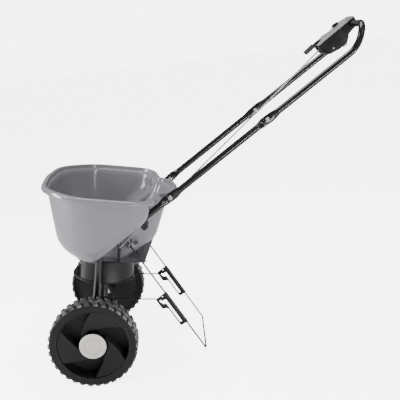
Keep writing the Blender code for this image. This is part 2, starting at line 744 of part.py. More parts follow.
def hopper():
    body = bucket("hopper", 0.0)
    CUTTERS.objects.unlink(body)
    PARTS.objects.link(body)
    body.hide_render = False
    body.display_type = "TEXTURED"
    join(body, rim_solid())
    cut(body, bucket("cavity", HOPPER_WALL))
    join(body, *[rod(f"stand_boss_{sign}", (sign * 68.5 * MM, *STAND_PIVOT),
                     (sign * (STAND_X - STAND_WIRE - 4 * MM), *STAND_PIVOT), 8 * MM, sides=20, cutter=True)
                 for sign in (1, -1)])
    join(body, *[rod(f"plate_boss_{index}", (x, y, SUMP_FLOOR_Z + MM), (x, y, SUMP_FLOOR_Z + 12 * MM),
                     5.5 * MM, sides=12, cutter=True) for index, (x, y) in enumerate(plate_screw_places())])
    holes = [rod("shaft_hole", (0, 0, SUMP_FLOOR_Z - 9 * MM), (0, 0, SUMP_FLOOR_Z + 9 * MM), 6 * MM, cutter=True)]
    holes += [rod(f"port_{index}", (x, y, SUMP_FLOOR_Z - 9 * MM), (x, y, SUMP_FLOOR_Z + 9 * MM), PORT_RADIUS,
                  sides=16, cutter=True) for index, (x, y) in enumerate(port_places())]
    holes += [rod(f"stand_bore_{sign}", (sign * 80 * MM, *STAND_PIVOT), (sign * 120 * MM, *STAND_PIVOT),
                  STAND_WIRE + RUNNING_GAP, sides=16, cutter=True) for sign in (1, -1)]
    holes += [rod(f"plate_hole_{index}", (x, y, SUMP_FLOOR_Z - 9 * MM), (x, y, SUMP_FLOOR_Z + 9 * MM),
                  PLATE_SCREW_RADIUS + RUNNING_GAP, sides=10, cutter=True)
              for index, (x, y) in enumerate(plate_screw_places())]
    for sign in (1, -1):
        start, end = hopper_screw_line(sign)
        holes.append(rod(f"fix_hole_{sign}", start, end + (end - start) * 0.1, PLATE_SCREW_RADIUS + RUNNING_GAP,
                         sides=10, cutter=True))
    finish(cut(body, *holes), "hopper_plastic")


GATE_TOP = SUMP_FLOOR_Z - RUNNING_GAP
GATE_BOTTOM = GATE_TOP - GATE_THICKNESS
PLATE_TOP = GATE_BOTTOM - RUNNING_GAP
PLATE_BOTTOM = PLATE_TOP - PLATE_THICKNESS
FLANGE_TOP = PLATE_BOTTOM - RUNNING_GAP
FLANGE_BOTTOM = FLANGE_TOP - SHROUD_WALL


def circle(radius, centre=(0.0, 0.0), sides=ROUND, start=0.0):
    return [Vector((centre[0] + radius * math.cos(start + 2 * math.pi * index / sides),
                    centre[1] + radius * math.sin(start + 2 * math.pi * index / sides)))
            for index in range(sides)]


def slot_outline(centre, radius, run, sides=6):
    """A slot with round ends, running from its centre point along a vector."""
    centre, run = Vector(centre), Vector(run)
    angle = math.atan2(run.y, run.x)
    first = [centre + run + radius * Vector((math.cos(angle + turn), math.sin(angle + turn)))
             for turn in (math.pi * (step / sides - 0.5) for step in range(sides + 1))]
    last = [centre + radius * Vector((math.cos(angle + turn), math.sin(angle + turn)))
            for turn in (math.pi * (step / sides + 0.5) for step in range(sides + 1))]
    return first + last


EAR_X = 90 * MM


def gate():
    """The sliding shut-off plate with its side arm and the slotted ear that the rod works."""
    foot_y, foot_z = ROD_FOOT[1:]
    arm = 5 * MM
    outline = [(-40 * MM, -42 * MM), (40 * MM, -42 * MM), (40 * MM, foot_y - arm), (EAR_X + 1.5 * MM, foot_y - arm),
               (EAR_X + 1.5 * MM, foot_y + arm), (-40 * MM, foot_y + arm)]
    holes = [slot_outline((0, 0), 6 * MM, (0, -GATE_TRAVEL))]
    holes += [circle(PORT_RADIUS, (x, y - GATE_TRAVEL), 16) for x, y in port_places()]
    body = plate("shutoff_gate", outline, "Z", GATE_BOTTOM, GATE_TOP, holes=holes)
    rise = GATE_TRAVEL * math.tan(rod_pitch())
    top = foot_z + rise + 7 * MM
    ear_outline = [(foot_y - arm, GATE_BOTTOM + MM), (foot_y + arm, GATE_BOTTOM + MM), (foot_y + arm, top),
                   (foot_y - arm, top)]
    ear_slot = slot_outline((foot_y, foot_z), ROD_RADIUS + RUNNING_GAP, (0.0, rise))
    ear = plate("gate_ear", ear_outline, "X", EAR_X - 1.5 * MM, EAR_X + 1.5 * MM, cutter=True, holes=[ear_slot])
    finish(join(body, ear), "black_plastic")


def base_plate():
    """The fixed plate under the gate, with the two rails that guide it."""
    body = rod("base_plate", (0, 0, PLATE_BOTTOM), (0, 0, PLATE_TOP), SHROUD_RADIUS, sides=36)
    holes = [((0, 0), 6 * MM)]
    holes += [(place, PORT_RADIUS + 2 * MM) for place in port_places()]
    holes += [(place, PLATE_SCREW_RADIUS + RUNNING_GAP) for place in plate_screw_places()]
    for sign in (1, -1):
        near, far = sorted((sign * 40.6 * MM, sign * 46 * MM))
        rail = block(f"base_rail_{sign}", (near, -55 * MM, PLATE_TOP - MM),
                     (far, 38 * MM, SUMP_FLOOR_Z - RUNNING_GAP), cutter=True)
        join(body, rail)
    for index, ((x, y), radius) in enumerate(holes):
        cut(body, rod(f"base_hole_{index}", (x, y, PLATE_BOTTOM - 5 * MM), (x, y, PLATE_TOP + 1.5 * MM), radius,
                      sides=12, cutter=True))
    finish(body, "black_plastic")


def shroud():
    """The round skirt about the impeller, open at the front, with a rolled lower lip."""
    inner = SHROUD_RADIUS - SHROUD_WALL
    lip = SHROUD_RADIUS + SHROUD_LIP
    profile = [(SHROUD_RADIUS, FLANGE_TOP), (SHROUD_RADIUS, SHROUD_BOTTOM + 3 * MM), (lip, SHROUD_BOTTOM + 3 * MM),
               (lip, SHROUD_BOTTOM), (inner, SHROUD_BOTTOM), (inner, FLANGE_BOTTOM),
               (38 * MM, FLANGE_BOTTOM), (38 * MM, FLANGE_TOP)]
    obj = turned("shroud", profile, 1.0, 36)
    obj.data.transform(Matrix.Rotation(math.radians(-90), 4, "Y"))
    tools = [rod(f"shroud_hole_{index}", (x, y, FLANGE_BOTTOM - 5 * MM), (x, y, FLANGE_TOP + 5 * MM),
                 PLATE_SCREW_RADIUS + RUNNING_GAP, sides=10, cutter=True)
             for index, (x, y) in enumerate(plate_screw_places())]
    tools.append(block("shroud_window", (-62 * MM, -120 * MM, SHROUD_BOTTOM + 6 * MM),
                       (62 * MM, -40 * MM, FLANGE_BOTTOM - 6 * MM), cutter=True))
    finish(cut(obj, *tools), "black_plastic")


def plate_screws():
    for index, (x, y) in enumerate(plate_screw_places()):
        screw(f"plate_screw_{index + 1}", (x, y, FLANGE_BOTTOM - RUNNING_GAP), (0, 0, 1),
              SUMP_FLOOR_Z + 8 * MM - FLANGE_BOTTOM, PLATE_SCREW_RADIUS, PLATE_HEAD_RADIUS, 2.5 * MM, sides=10)


# ---------------------------------------------------------------- drive


def axle():
    end = TRACK_HALF - 3 * MM
    obj = rod("axle", (-end, 0, 0), (end, 0, 0), AXLE_RADIUS)
    cutters = [rod("axle_drive_hole", (158 * MM, 0, -9 * MM), (158 * MM, 0, 9 * MM), 2.5 * MM + RUNNING_GAP,
                   sides=12, cutter=True)]
    for sign in (1, -1):
        x = sign * (TRACK_HALF - 7 * MM)
        cutters.append(rod(f"axle_pin_hole_{sign}", (x, 0, -9 * MM), (x, 0, 9 * MM), 1.5 * MM + RUNNING_GAP,
                           sides=12, cutter=True))
    finish(cut(obj, *cutters), "zinc_steel")


def lug_ring(name, x_start, x_end, slant):
    """The slanted tread lugs as one toothed ring, with a lug squarely under the parked axle."""
    pitch = 2 * math.pi / LUG_COUNT
    root = WHEEL_RADIUS - LUG_HEIGHT
    half = 0.25 * pitch * WHEEL_RADIUS
    loops = []
    for x, shift in ((x_start, -slant), (x_end, slant)):
        loop = []
        for lug in range(LUG_COUNT):
            angle = lug * pitch - math.pi / 2 + PARK_TILT
            outwards = Vector((0.0, math.cos(angle), math.sin(angle)))
            tangent = Vector((0.0, -math.sin(angle), math.cos(angle)))
            for side, radius in ((-1.3, root), (-1, WHEEL_RADIUS), (1, WHEEL_RADIUS), (1.3, root)):
                loop.append(Vector((x, 0, 0)) + outwards * radius + tangent * (side * half + shift))
        loops.append(loop)
    ring = loft(name, loops, cutter=True)
    return cut(ring, rod(name + "_bore", (x_start * 1.5, 0, 0), (x_end * 0.5, 0, 0), root - 3 * MM,
                         sides=LUG_COUNT, cutter=True))


def bowed(start, end, bulge, steps=6):
    """A shallow arc between two points, bulging to the left of the way it runs."""
    start, end = Vector(start), Vector(end)
    run = end - start
    left = Vector((-run.y, run.x)).normalized()
    return [start + run * share + left * (4 * bulge * share * (1 - share))
            for share in (step / steps for step in range(steps + 1))]


def blade_outline(index):
    """One of the wheel's three swept blades, seen along the axle."""
    root = HUB_RADIUS - 3 * MM
    rim = DISH_RADIUS + 4 * MM
    leading = bowed((-30.5 * MM, 24.4 * MM), (8.8 * MM, 96.5 * MM), 4.5 * MM)
    trailing = bowed((12 * MM, 40.5 * MM), (91 * MM, 42.5 * MM), 3 * MM)
    arc = [Vector((rim * math.cos(turn), rim * math.sin(turn)))
           for turn in (math.radians(angle) for angle in (84, 72, 60, 48, 36, 26))]
    hub = [Vector((root * math.cos(turn), root * math.sin(turn)))
           for turn in (math.radians(angle) for angle in (74, 96, 118, 141))]
    turn = Matrix.Rotation(PARK_TILT + 2 * math.pi * index / 3, 2)
    return [turn @ point for point in leading + arc + trailing[::-1] + hub]


def wheel(side, sign):
    """A moulded wheel: treaded rim, dished web with three swept blades, and a long hub."""
    outer_x = TRACK_HALF
    inner_x = TRACK_HALF - WHEEL_WIDTH
    tread = WHEEL_RADIUS - LUG_HEIGHT + 0.5 * MM
    web_out = outer_x - 30 * MM
    web_in = web_out - 4 * MM
    hub_end = outer_x - 9 * MM
    bore = AXLE_RADIUS + RUNNING_GAP
    profile = [(tread - 3 * MM, outer_x), (tread, outer_x - 3 * MM), (tread, inner_x + 3 * MM),
               (tread - 3 * MM, inner_x), (tread - 5 * MM, inner_x), (tread - 5 * MM, outer_x - 6 * MM),
               (DISH_RADIUS + 5 * MM, outer_x - 6 * MM), (DISH_RADIUS, web_in),
               (HUB_RADIUS, web_in), (HUB_RADIUS - 8 * MM, HUB_INNER_X), (bore, HUB_INNER_X), (bore, hub_end),
               (HUB_RADIUS, hub_end), (HUB_RADIUS, web_out), (DISH_RADIUS, web_out), (DISH_RADIUS + 2 * MM, outer_x)]
    obj = turned(f"wheel_{side}", profile[::-1], sign, LUG_COUNT)
    join(obj, lug_ring(f"lugs_{side}", sign * (outer_x - 3 * MM), sign * (inner_x + 3 * MM), LUG_SLANT))
    for index in range(3):
        low, high = sorted((sign * (web_out - MM), sign * (outer_x - 13 * MM)))
        join(obj, plate(f"blade_{side}_{index}", blade_outline(index), "X", low, high, cutter=True))
    if sign > 0:
        cut(obj, rod("drive_pin_hole", (158 * MM, 0, -40 * MM), (158 * MM, 0, 40 * MM), 2.5 * MM + RUNNING_GAP,
                     sides=12, cutter=True))
    finish(obj, "wheel_plastic")


def hub_cap(side, sign):
    """The domed cap that clips over the hub's outer end."""
    seat = TRACK_HALF + RUNNING_GAP
    top = TRACK_HALF + CAP_PROUD
    skirt_out = HUB_RADIUS + RUNNING_GAP + 2.5 * MM
    skirt_in = HUB_RADIUS + RUNNING_GAP
    profile = [(0.0, top), (20 * MM, top - 0.4 * MM), (22 * MM, top - 1.2 * MM), (31 * MM, top - 1.8 * MM),
               (CAP_RADIUS, seat + MM), (CAP_RADIUS, seat - MM), (skirt_out, seat - MM),
               (skirt_out, seat - 11 * MM), (skirt_in, seat - 11 * MM), (skirt_in, seat - MM), (0.0, seat - MM)]
    finish(turned(f"hub_cap_{side}", profile, sign, 24), "cap_plastic")


def axle_pin(side, sign):
    """The cross pin outside a wheel's hub that keeps the wheel on the axle."""
    x = sign * (TRACK_HALF - 7 * MM)
    finish(rod(f"axle_pin_{side}", (x, 0, -11 * MM), (x, 0, 11 * MM), 1.5 * MM, sides=12), "zinc_steel")


def drive_pin():
    """The cross pin that makes one wheel turn the axle."""
    finish(rod("drive_pin", (158 * MM, 0, -16 * MM), (158 * MM, 0, 16 * MM), 2.5 * MM, sides=16), "zinc_steel")


PINION_TIP = 11 * MM
PINION_ROOT = 6.6 * MM
CROWN_TOOTH_TIP = 8.9 * MM
CROWN_TOOTH_ROOT = 13 * MM
PINION_LOW = 33 * MM
PINION_HIGH = 41 * MM


def crown_gear():
    """A face gear on the axle; its teeth stand towards the vertical shaft."""
    bore = AXLE_RADIUS + RUNNING_GAP
    profile = [(CROWN_RADIUS, CROWN_TOOTH_ROOT + 4 * MM), (CROWN_RADIUS, CROWN_TOOTH_ROOT), (bore, CROWN_TOOTH_ROOT),
               (bore, CROWN_TOOTH_ROOT + 12 * MM), (12 * MM, CROWN_TOOTH_ROOT + 12 * MM),
               (12 * MM, CROWN_TOOTH_ROOT + 4 * MM)]
    body = turned("crown_gear", profile, 1.0, 32)
    bm = bmesh.new()
    for tooth in range(CROWN_TEETH):
        angle = 2 * math.pi * tooth / CROWN_TEETH
        low, high = PINION_LOW - MM, CROWN_RADIUS - 0.4 * MM
        frame = (Matrix.Rotation(angle, 4, "X")
                 @ Matrix.Translation(((CROWN_TOOTH_TIP + CROWN_TOOTH_ROOT + MM) / 2, 0, (low + high) / 2))
                 @ Matrix.Diagonal((CROWN_TOOTH_ROOT + MM - CROWN_TOOTH_TIP, 2 * MM, high - low, 1.0)))
        bmesh.ops.create_cube(bm, size=1.0, matrix=frame)
    teeth = add_object("crown_teeth", mesh_from(bm, "crown_teeth"), cutter=True)
    finish(join(body, teeth), "gear_plastic")


def pinion():
    outline = []
    pitch = 2 * math.pi / PINION_TEETH
    for tooth in range(PINION_TEETH):
        centre = (tooth + 0.5) * pitch
        for half, radius in ((-1.1 * MM, PINION_ROOT), (-0.9 * MM, PINION_TIP), (0.9 * MM, PINION_TIP),
                             (1.1 * MM, PINION_ROOT)):
            angle = centre + half / radius
            outline.append(Vector((radius * math.cos(angle), radius * math.sin(angle))))
    body = plate("pinion_gear", outline, "Z", PINION_LOW, PINION_HIGH, holes=[hexagon(RUNNING_GAP)])
    finish(body, "gear_plastic")


def hexagon(gap):
    return circle(SHAFT_ACROSS_FLATS / math.sqrt(3) + gap / math.cos(math.pi / 6), sides=6)


AGITATOR_Z = SUMP_FLOOR_Z + 17 * MM


def impeller_shaft():
    body = plate("impeller_shaft", hexagon(0.0), "Z", PINION_LOW - 9 * MM, AGITATOR_Z + 12 * MM)
    finish(body, "zinc_steel")


def impeller():
    """The spinning disc with five fins that throws the material."""
    disc = plate("impeller", circle(IMPELLER_RADIUS, sides=30), "Z", IMPELLER_Z, IMPELLER_Z + 2.5 * MM)
    hub = rod("impeller_hub", (0, 0, IMPELLER_Z - 8 * MM), (0, 0, IMPELLER_Z + 16 * MM), 11 * MM, 9 * MM, cutter=True)
    join(disc, hub)
    for fin in range(5):
        turn = Matrix.Rotation(2 * math.pi * fin / 5, 4, "Z")
        tool = block(f"impeller_fin_{fin}", (8 * MM, -1.2 * MM, IMPELLER_Z + MM),
                     (IMPELLER_RADIUS - 2 * MM, 1.2 * MM, IMPELLER_Z + 13 * MM), cutter=True)
        tool.data.transform(turn)
        join(disc, tool)
    bore = plate("impeller_bore", hexagon(RUNNING_GAP), "Z", IMPELLER_Z - 20 * MM, IMPELLER_Z + 30 * MM, cutter=True)
    finish(cut(disc, bore), "black_plastic")


def agitator():
    """The paddle at the top of the shaft that keeps the material flowing."""
    body = rod("agitator", (0, 0, AGITATOR_Z), (0, 0, AGITATOR_Z + 8 * MM), 10 * MM)
    for sign in (1, -1):
        arm = rod(f"agitator_arm_{sign}", (sign * 6 * MM, 0, AGITATOR_Z + 4 * MM),
                  (sign * 40 * MM, 0, AGITATOR_Z + 9 * MM), 2.5 * MM, sides=10, cutter=True)
        join(body, arm)
    bore = plate("agitator_bore", hexagon(RUNNING_GAP), "Z", AGITATOR_Z - 9 * MM, AGITATOR_Z + 20 * MM, cutter=True)
    finish(cut(body, bore), "zinc_steel")


GEARBOX_LOW_X = -20 * MM
GEARBOX_HIGH_X = CROWN_TOOTH_ROOT + 12 * MM + 4 * MM
NECK_TOP = 104 * MM
NECK_RADIUS = 14 * MM


def gearbox_outer(name):
    drum = rod(name, (GEARBOX_LOW_X, 0, 0), (GEARBOX_HIGH_X, 0, 0), GEARBOX_RADIUS, sides=40)
    neck = rod(name + "_neck", (0, 0, 20 * MM), (0, 0, NECK_TOP), NECK_RADIUS + 4 * MM, NECK_RADIUS - 3 * MM,
               cutter=True)
    ears = block(name + "_ears", (-7 * MM, -GEARBOX_RADIUS - 10 * MM, -4 * MM),
                 (7 * MM, GEARBOX_RADIUS + 10 * MM, 4 * MM), cutter=True)
    return join(drum, neck, ears)


def gearbox_half(name, keep_upper):
    """One half of the split housing around the gears, with its axle and shaft openings."""
    body = gearbox_outer(name)
    wall = GEARBOX_WALL
    tools = [rod(name + "_room", (GEARBOX_LOW_X + wall, 0, 0), (GEARBOX_HIGH_X - wall, 0, 0), GEARBOX_RADIUS - wall,
                 sides=40, cutter=True),
             rod(name + "_axle", (-60 * MM, 0, 0), (60 * MM, 0, 0), AXLE_RADIUS + RUNNING_GAP, cutter=True),
             rod(name + "_shaft", (0, 0, 20 * MM), (0, 0, NECK_TOP + 9 * MM), 5.2 * MM, cutter=True)]
    for sign in (1, -1):
        y = sign * (GEARBOX_RADIUS + 5 * MM)
        tools.append(rod(f"{name}_screw_{sign}", (0, y, -12 * MM), (0, y, 12 * MM), PLATE_SCREW_RADIUS + RUNNING_GAP,
                         sides=10, cutter=True))
    far = 200 * MM
    if keep_upper:
        tools.append(block(name + "_split", (-far, -far, -far), (far, far, RUNNING_GAP / 2), cutter=True))
    else:
        tools.append(block(name + "_split", (-far, -far, -RUNNING_GAP / 2), (far, far, far), cutter=True))
    finish(cut(body, *tools), "black_plastic")


def gearbox():
    gearbox_half("gearbox_upper", True)
    gearbox_half("gearbox_lower", False)
    for label, sign in (("front", -1), ("rear", 1)):
        y = sign * (GEARBOX_RADIUS + 5 * MM)
        screw(f"gearbox_screw_{label}", (0, y, 4 * MM + RUNNING_GAP), (0, 0, -1), 11 * MM, PLATE_SCREW_RADIUS,
              PLATE_HEAD_RADIUS, 2.5 * MM, sides=10)


# ---------------------------------------------------------------- stand, clips and struts

STAND_DIR = Vector((0.0, math.cos(STAND_ANGLE), math.sin(STAND_ANGLE)))
STAND_SIDE = Vector((0.0, math.sin(STAND_ANGLE), -math.cos(STAND_ANGLE)))


def stand_length():
    """The reach from the stand's pivot at which its foot bar lies on the ground."""
    pivot = axle_to_world(0.0, *STAND_PIVOT)
    along = Matrix.Rotation(-PARK_TILT, 3, "X") @ STAND_DIR
    return (WHEEL_RADIUS + pivot.z - STAND_WIRE) / -along.z


def on_stand(along, side, x):
    return Vector((x, *STAND_PIVOT)) + STAND_DIR * along + STAND_SIDE * side


def stand_wire():
    """The U of bent wire that the spreader rests on; its tips turn into the hopper's bosses."""
    tip = 83 * MM
    length = stand_length()
    points = [Vector((tip, *STAND_PIVOT)), on_stand(0, 0, STAND_X), on_stand(length, 0, STAND_X),
              on_stand(length, 0, -STAND_X), on_stand(0, 0, -STAND_X), Vector((-tip, *STAND_PIVOT))]
    path = rounded(points, (0, 4 * MM, 7 * MM, 7 * MM, 4 * MM, 0), closed=False, steps=3)
    finish(wire("stand_wire", path, STAND_WIRE), "frame_paint", (0.0, *STAND_PIVOT))


def stand_frame(points):
    """Turns (along, side) pairs of the stand into the machine's (y, z)."""
    return [Vector(on_stand(along, side, 0.0)[1:]) for along, side in points]


def clip(side, sign):
    """The flat latch on each stand wire, with its hooked notch and long slot."""
    sleeve = STAND_WIRE + RUNNING_GAP + 2 * MM
    start, end = CLIP_START, CLIP_START + CLIP_LENGTH
    head_end = start + CLIP_HEAD
    outline = [(start, 0), (end, 0), (end, CLIP_TAIL_DEPTH), (head_end + 8 * MM, CLIP_TAIL_DEPTH),
               (head_end, CLIP_DEPTH), (start + 3 * MM, CLIP_DEPTH)]
    outline = rounded([Vector(point) for point in outline], [0, 3 * MM, 4 * MM, 5 * MM, 5 * MM, 6 * MM], steps=3)
    half = SLOT_WIDTH / 2
    slot_mid = 13.5 * MM
    slot_start = start + 19 * MM
    slot_end = end - 10 * MM
    notch = [(slot_end, slot_mid - half), (slot_end, slot_mid + half), (slot_start + 12 * MM, slot_mid + half),
             (slot_start + 9 * MM, slot_mid + half + 8 * MM), (slot_start - 4 * MM, slot_mid + half + 13 * MM),
             (slot_start - 9 * MM, slot_mid + half + 9 * MM), (slot_start - MM, slot_mid + half + 5 * MM),
             (slot_start - MM, slot_mid - half)]
    radii = [3 * MM, 3 * MM, 2 * MM, 3 * MM, 3 * MM, 2 * MM, 1.5 * MM, 2 * MM]
    notch = rounded([Vector(point) for point in notch], radii, steps=3)
    low, high = sorted((sign * (STAND_X - CLIP_THICKNESS / 2), sign * (STAND_X + CLIP_THICKNESS / 2)))
    body = plate(f"stand_clip_{side}", stand_frame(outline), "X", low, high, holes=[stand_frame(notch)])
    x = sign * STAND_X
    join(body, rod(f"clip_sleeve_{side}", on_stand(start, 0, x), on_stand(end, 0, x), sleeve, sides=16, cutter=True))
    cut(body, rod(f"clip_bore_{side}", on_stand(start - MM, 0, x), on_stand(end + MM, 0, x),
                  STAND_WIRE + RUNNING_GAP, sides=16, cutter=True))
    finish(body, "black_plastic", (0.0, *STAND_PIVOT))


def strut(side, sign):
    """The wire from the leg's bracket to the clip, with both ends bent outwards."""
    notch = on_stand(CLIP_START + 12 * MM, 25 * MM, sign * STRUT_X)
    pivot = Vector((sign * STRUT_X, *STRUT_PIVOT))
    outward = Vector((sign, 0.0, 0.0))
    tip = STAND_X - CLIP_THICKNESS / 2 - 0.6 * MM - STRUT_X
    points = [pivot + outward * 24.5 * MM, pivot, notch, notch + outward * tip]
    path = rounded(points, (0, 4 * MM, 2.8 * MM, 0), closed=False, steps=3)
    finish(wire(f"strut_{side}", path, STRUT_WIRE), "frame_paint", (0.0, *STRUT_PIVOT))


def strut_bracket(side, sign):
    """The small plate on the inside of each leg that the strut turns in."""
    inner = TUBE_X - FLAT_THICKNESS / 2 - RUNNING_GAP - 3 * MM
    outer = inner + 3 * MM
    y, z = STRUT_PIVOT
    low, high = BRACKET_SCREW_Z - 9 * MM, BRACKET_SCREW_Z + 9 * MM
    outline = [(LEG_Y - 9 * MM, low), (LEG_Y + 9 * MM, low), (y + 9 * MM, z - 8 * MM),
               (y + 9 * MM, z + 9 * MM), (y - 9 * MM, z + 9 * MM), (LEG_Y - 9 * MM, high)]
    outline = rounded([Vector(point) for point in outline], [5 * MM, 5 * MM, 8 * MM, 8 * MM, 6 * MM, 5 * MM], steps=3)
    hole = circle(STRUT_WIRE + RUNNING_GAP, STRUT_PIVOT, 12)
    fix = circle(PLATE_SCREW_RADIUS + RUNNING_GAP, (LEG_Y, BRACKET_SCREW_Z), 10)
    low, high = sorted((sign * inner, sign * outer))
    body = plate(f"strut_bracket_{side}", outline, "X", low, high, holes=[hole, fix])
    finish(body, "frame_paint")
    screw(f"bracket_screw_{side}", (sign * (inner - RUNNING_GAP), LEG_Y, BRACKET_SCREW_Z), (sign, 0, 0), 12 * MM,
          PLATE_SCREW_RADIUS, PLATE_HEAD_RADIUS, 2.2 * MM, sides=10)


# ---------------------------------------------------------------- control rod and console


def rod_pitch():
    """The control rod's slope in the machine's side view."""
    return math.atan2(ROD_HEAD[2] - ROD_FOOT[2], ROD_HEAD[1] - ROD_FOOT[1])


def control_rod():
    """The stiff wire from the lever to the gate; both tips turn along X."""
    foot, head = Vector(ROD_FOOT), Vector(ROD_HEAD)
    points = [foot - Vector((17 * MM, 0, 0)), foot, head, head + Vector((16 * MM, 0, 0))]
    path = rounded(points, (0, 4 * MM, 4 * MM, 0), closed=False, steps=3)
    finish(wire("control_rod", path, ROD_RADIUS), "zinc_steel", ROD_HEAD)


ROD_SIDE = Vector((0.0, math.cos(rod_pitch()), math.sin(rod_pitch())))
ROD_UNDER = Vector((0.0, math.sin(rod_pitch()), -math.cos(rod_pitch())))
LEVER_PIVOT = (Vector(ROD_HEAD) + ROD_SIDE * LEVER_ARM * math.sin(LEVER_SWING / 2)
               + ROD_UNDER * LEVER_ARM * math.cos(LEVER_SWING / 2))
LEVER_X = 8 * MM
LEVER_THICKNESS = 4 * MM


def along_rod(along, under):
    """(y, z) of a point measured from the lever's pivot, along the rod and under it."""
    place = Vector((0, LEVER_PIVOT.y, LEVER_PIVOT.z)) + ROD_SIDE * along + ROD_UNDER * under
    return Vector((place.y, place.z))


def control_lever():
    """The shut-off lever: a plate on the pivot pin that ends in the grip's tang."""
    head = Vector(ROD_HEAD) - LEVER_PIVOT
    arm_dir = head.normalized()
    slot_from = Vector((ROD_HEAD[1], ROD_HEAD[2])) - Vector((arm_dir.y, arm_dir.z)) * 1.9 * MM
    slot = slot_outline(slot_from, ROD_RADIUS + 0.5 * MM, Vector((arm_dir.y, arm_dir.z)) * 2.2 * MM, 4)
    outline = [along_rod(6.5 * MM, 5.5 * MM), along_rod(7 * MM, -24 * MM), along_rod(-4 * MM, -40 * MM),
               along_rod(-20 * MM, -46 * MM), along_rod(-60 * MM, -46 * MM), along_rod(-60 * MM, -39 * MM),
               along_rod(-27 * MM, -38 * MM), along_rod(-16 * MM, -20 * MM), along_rod(-6.5 * MM, 5.5 * MM)]
    radii = [5 * MM, 8 * MM, 8 * MM, 6 * MM, 2 * MM, 2 * MM, 6 * MM, 10 * MM, 5 * MM]
    bore = circle(3 * MM + RUNNING_GAP, (LEVER_PIVOT.y, LEVER_PIVOT.z), 16)
    body = plate("control_lever", rounded(outline, radii, steps=3), "X", LEVER_X - LEVER_THICKNESS / 2,
                 LEVER_X + LEVER_THICKNESS / 2, holes=[slot, bore])
    finish(body, "black_plastic", LEVER_PIVOT)


def lever_grip():
    """The ribbed grip pushed over the lever's tang."""
    ribs = 6
    outline_top, outline_low = [], []
    start, end = -35 * MM, -67 * MM
    middle = -42.5 * MM
    for rib in range(ribs):
        first = start + (end - start) * rib / ribs
        pitch = (end - start) / ribs
        for share, depth in ((0.0, 6.2 * MM), (0.55, 6.2 * MM), (0.65, 5.2 * MM), (0.9, 5.2 * MM)):
            outline_top.append((first + pitch * share, middle - depth))
            outline_low.append((first + pitch * share, middle + depth))
    points = [along_rod(*point) for point in outline_top + outline_low[::-1]]
    body = plate("lever_grip", points, "X", LEVER_X - 9 * MM, LEVER_X + 9 * MM)
    gap = RUNNING_GAP
    socket = [along_rod(-20 * MM, -46 * MM - gap), along_rod(-60 * MM - gap, -46 * MM - gap),
              along_rod(-60 * MM - gap, -39 * MM + gap), along_rod(-20 * MM, -37.6 * MM + gap)]
    cut(body, plate("grip_socket", socket, "X", LEVER_X - LEVER_THICKNESS / 2 - gap,
                    LEVER_X + LEVER_THICKNESS / 2 + gap, cutter=True))
    finish(body, "grip_rubber", LEVER_PIVOT)


def console_frame(points):
    """(along, above) pairs of the console, from its front end, turned into the machine's (y, z)."""
    origin = Vector((0.0, 578 * MM, 846 * MM))
    along = Vector((0.0, math.cos(math.radians(45)), math.sin(math.radians(45))))
    above = Vector((0.0, -along.z, along.y))
    placed = [origin + along * first + above * second for first, second in points]
    return [Vector((place.y, place.z)) for place in placed]


CONSOLE_LENGTH = 128 * MM
COVER_BASE = 17 * MM


def console_outline():
    return [(0, COVER_BASE), (0, -6 * MM), (12 * MM, -22 * MM), (44 * MM, -29 * MM), (74 * MM, -27 * MM),
            (90 * MM, -12 * MM), (CONSOLE_LENGTH, -5 * MM), (CONSOLE_LENGTH, COVER_BASE)]


def handle_bar_centre():
    top = handle_rear()
    return Vector((top.y, top.z))


def console_body():
    """The open-topped black housing that sits on the crossbar and carries the lever."""
    radii = [0, 5 * MM, 10 * MM, 12 * MM, 8 * MM, 8 * MM, 6 * MM, 0]
    outline = rounded(console_frame(console_outline()), radii, steps=3)
    body = plate("console_body", outline, "X", -CONSOLE_HALF_WIDTH, CONSOLE_HALF_WIDTH)
    wall = CONSOLE_WALL
    room = [(wall, COVER_BASE + 9 * MM), (wall, -5 * MM), (14 * MM, -19 * MM), (44 * MM, -26 * MM),
            (56 * MM, -25 * MM), (60 * MM, -9 * MM), (92 * MM, -9 * MM), (92 * MM, COVER_BASE + 9 * MM)]
    half = CONSOLE_HALF_WIDTH - wall
    cut(body, plate("console_room", console_frame(room), "X", -half, half, cutter=True))
    bar = handle_bar_centre()
    cut(body, rod("console_bar", (-80 * MM, bar.x, bar.y), (80 * MM, bar.x, bar.y), TUBE_RADIUS + RUNNING_GAP,
                  cutter=True, sides=32))
    pivot = LEVER_PIVOT
    cut(body, rod("console_pin_hole", (-40 * MM, pivot.y, pivot.z), (40 * MM, pivot.y, pivot.z),
                  3 * MM + RUNNING_GAP, sides=16, cutter=True))
    mouth = console_frame([(-6 * MM, COVER_BASE + 9 * MM), (-6 * MM, -9 * MM), (5 * MM, -9 * MM),
                           (5 * MM, COVER_BASE + 9 * MM)])
    cut(body, plate("console_mouth", mouth, "X", -7 * MM, 14 * MM, cutter=True))
    low, high = clamp_places(-40 * MM, -14 * MM)
    cut(body, rod("clamp_hole", low, high, 3 * MM + RUNNING_GAP, sides=12, cutter=True))
    finish(body, "black_plastic")


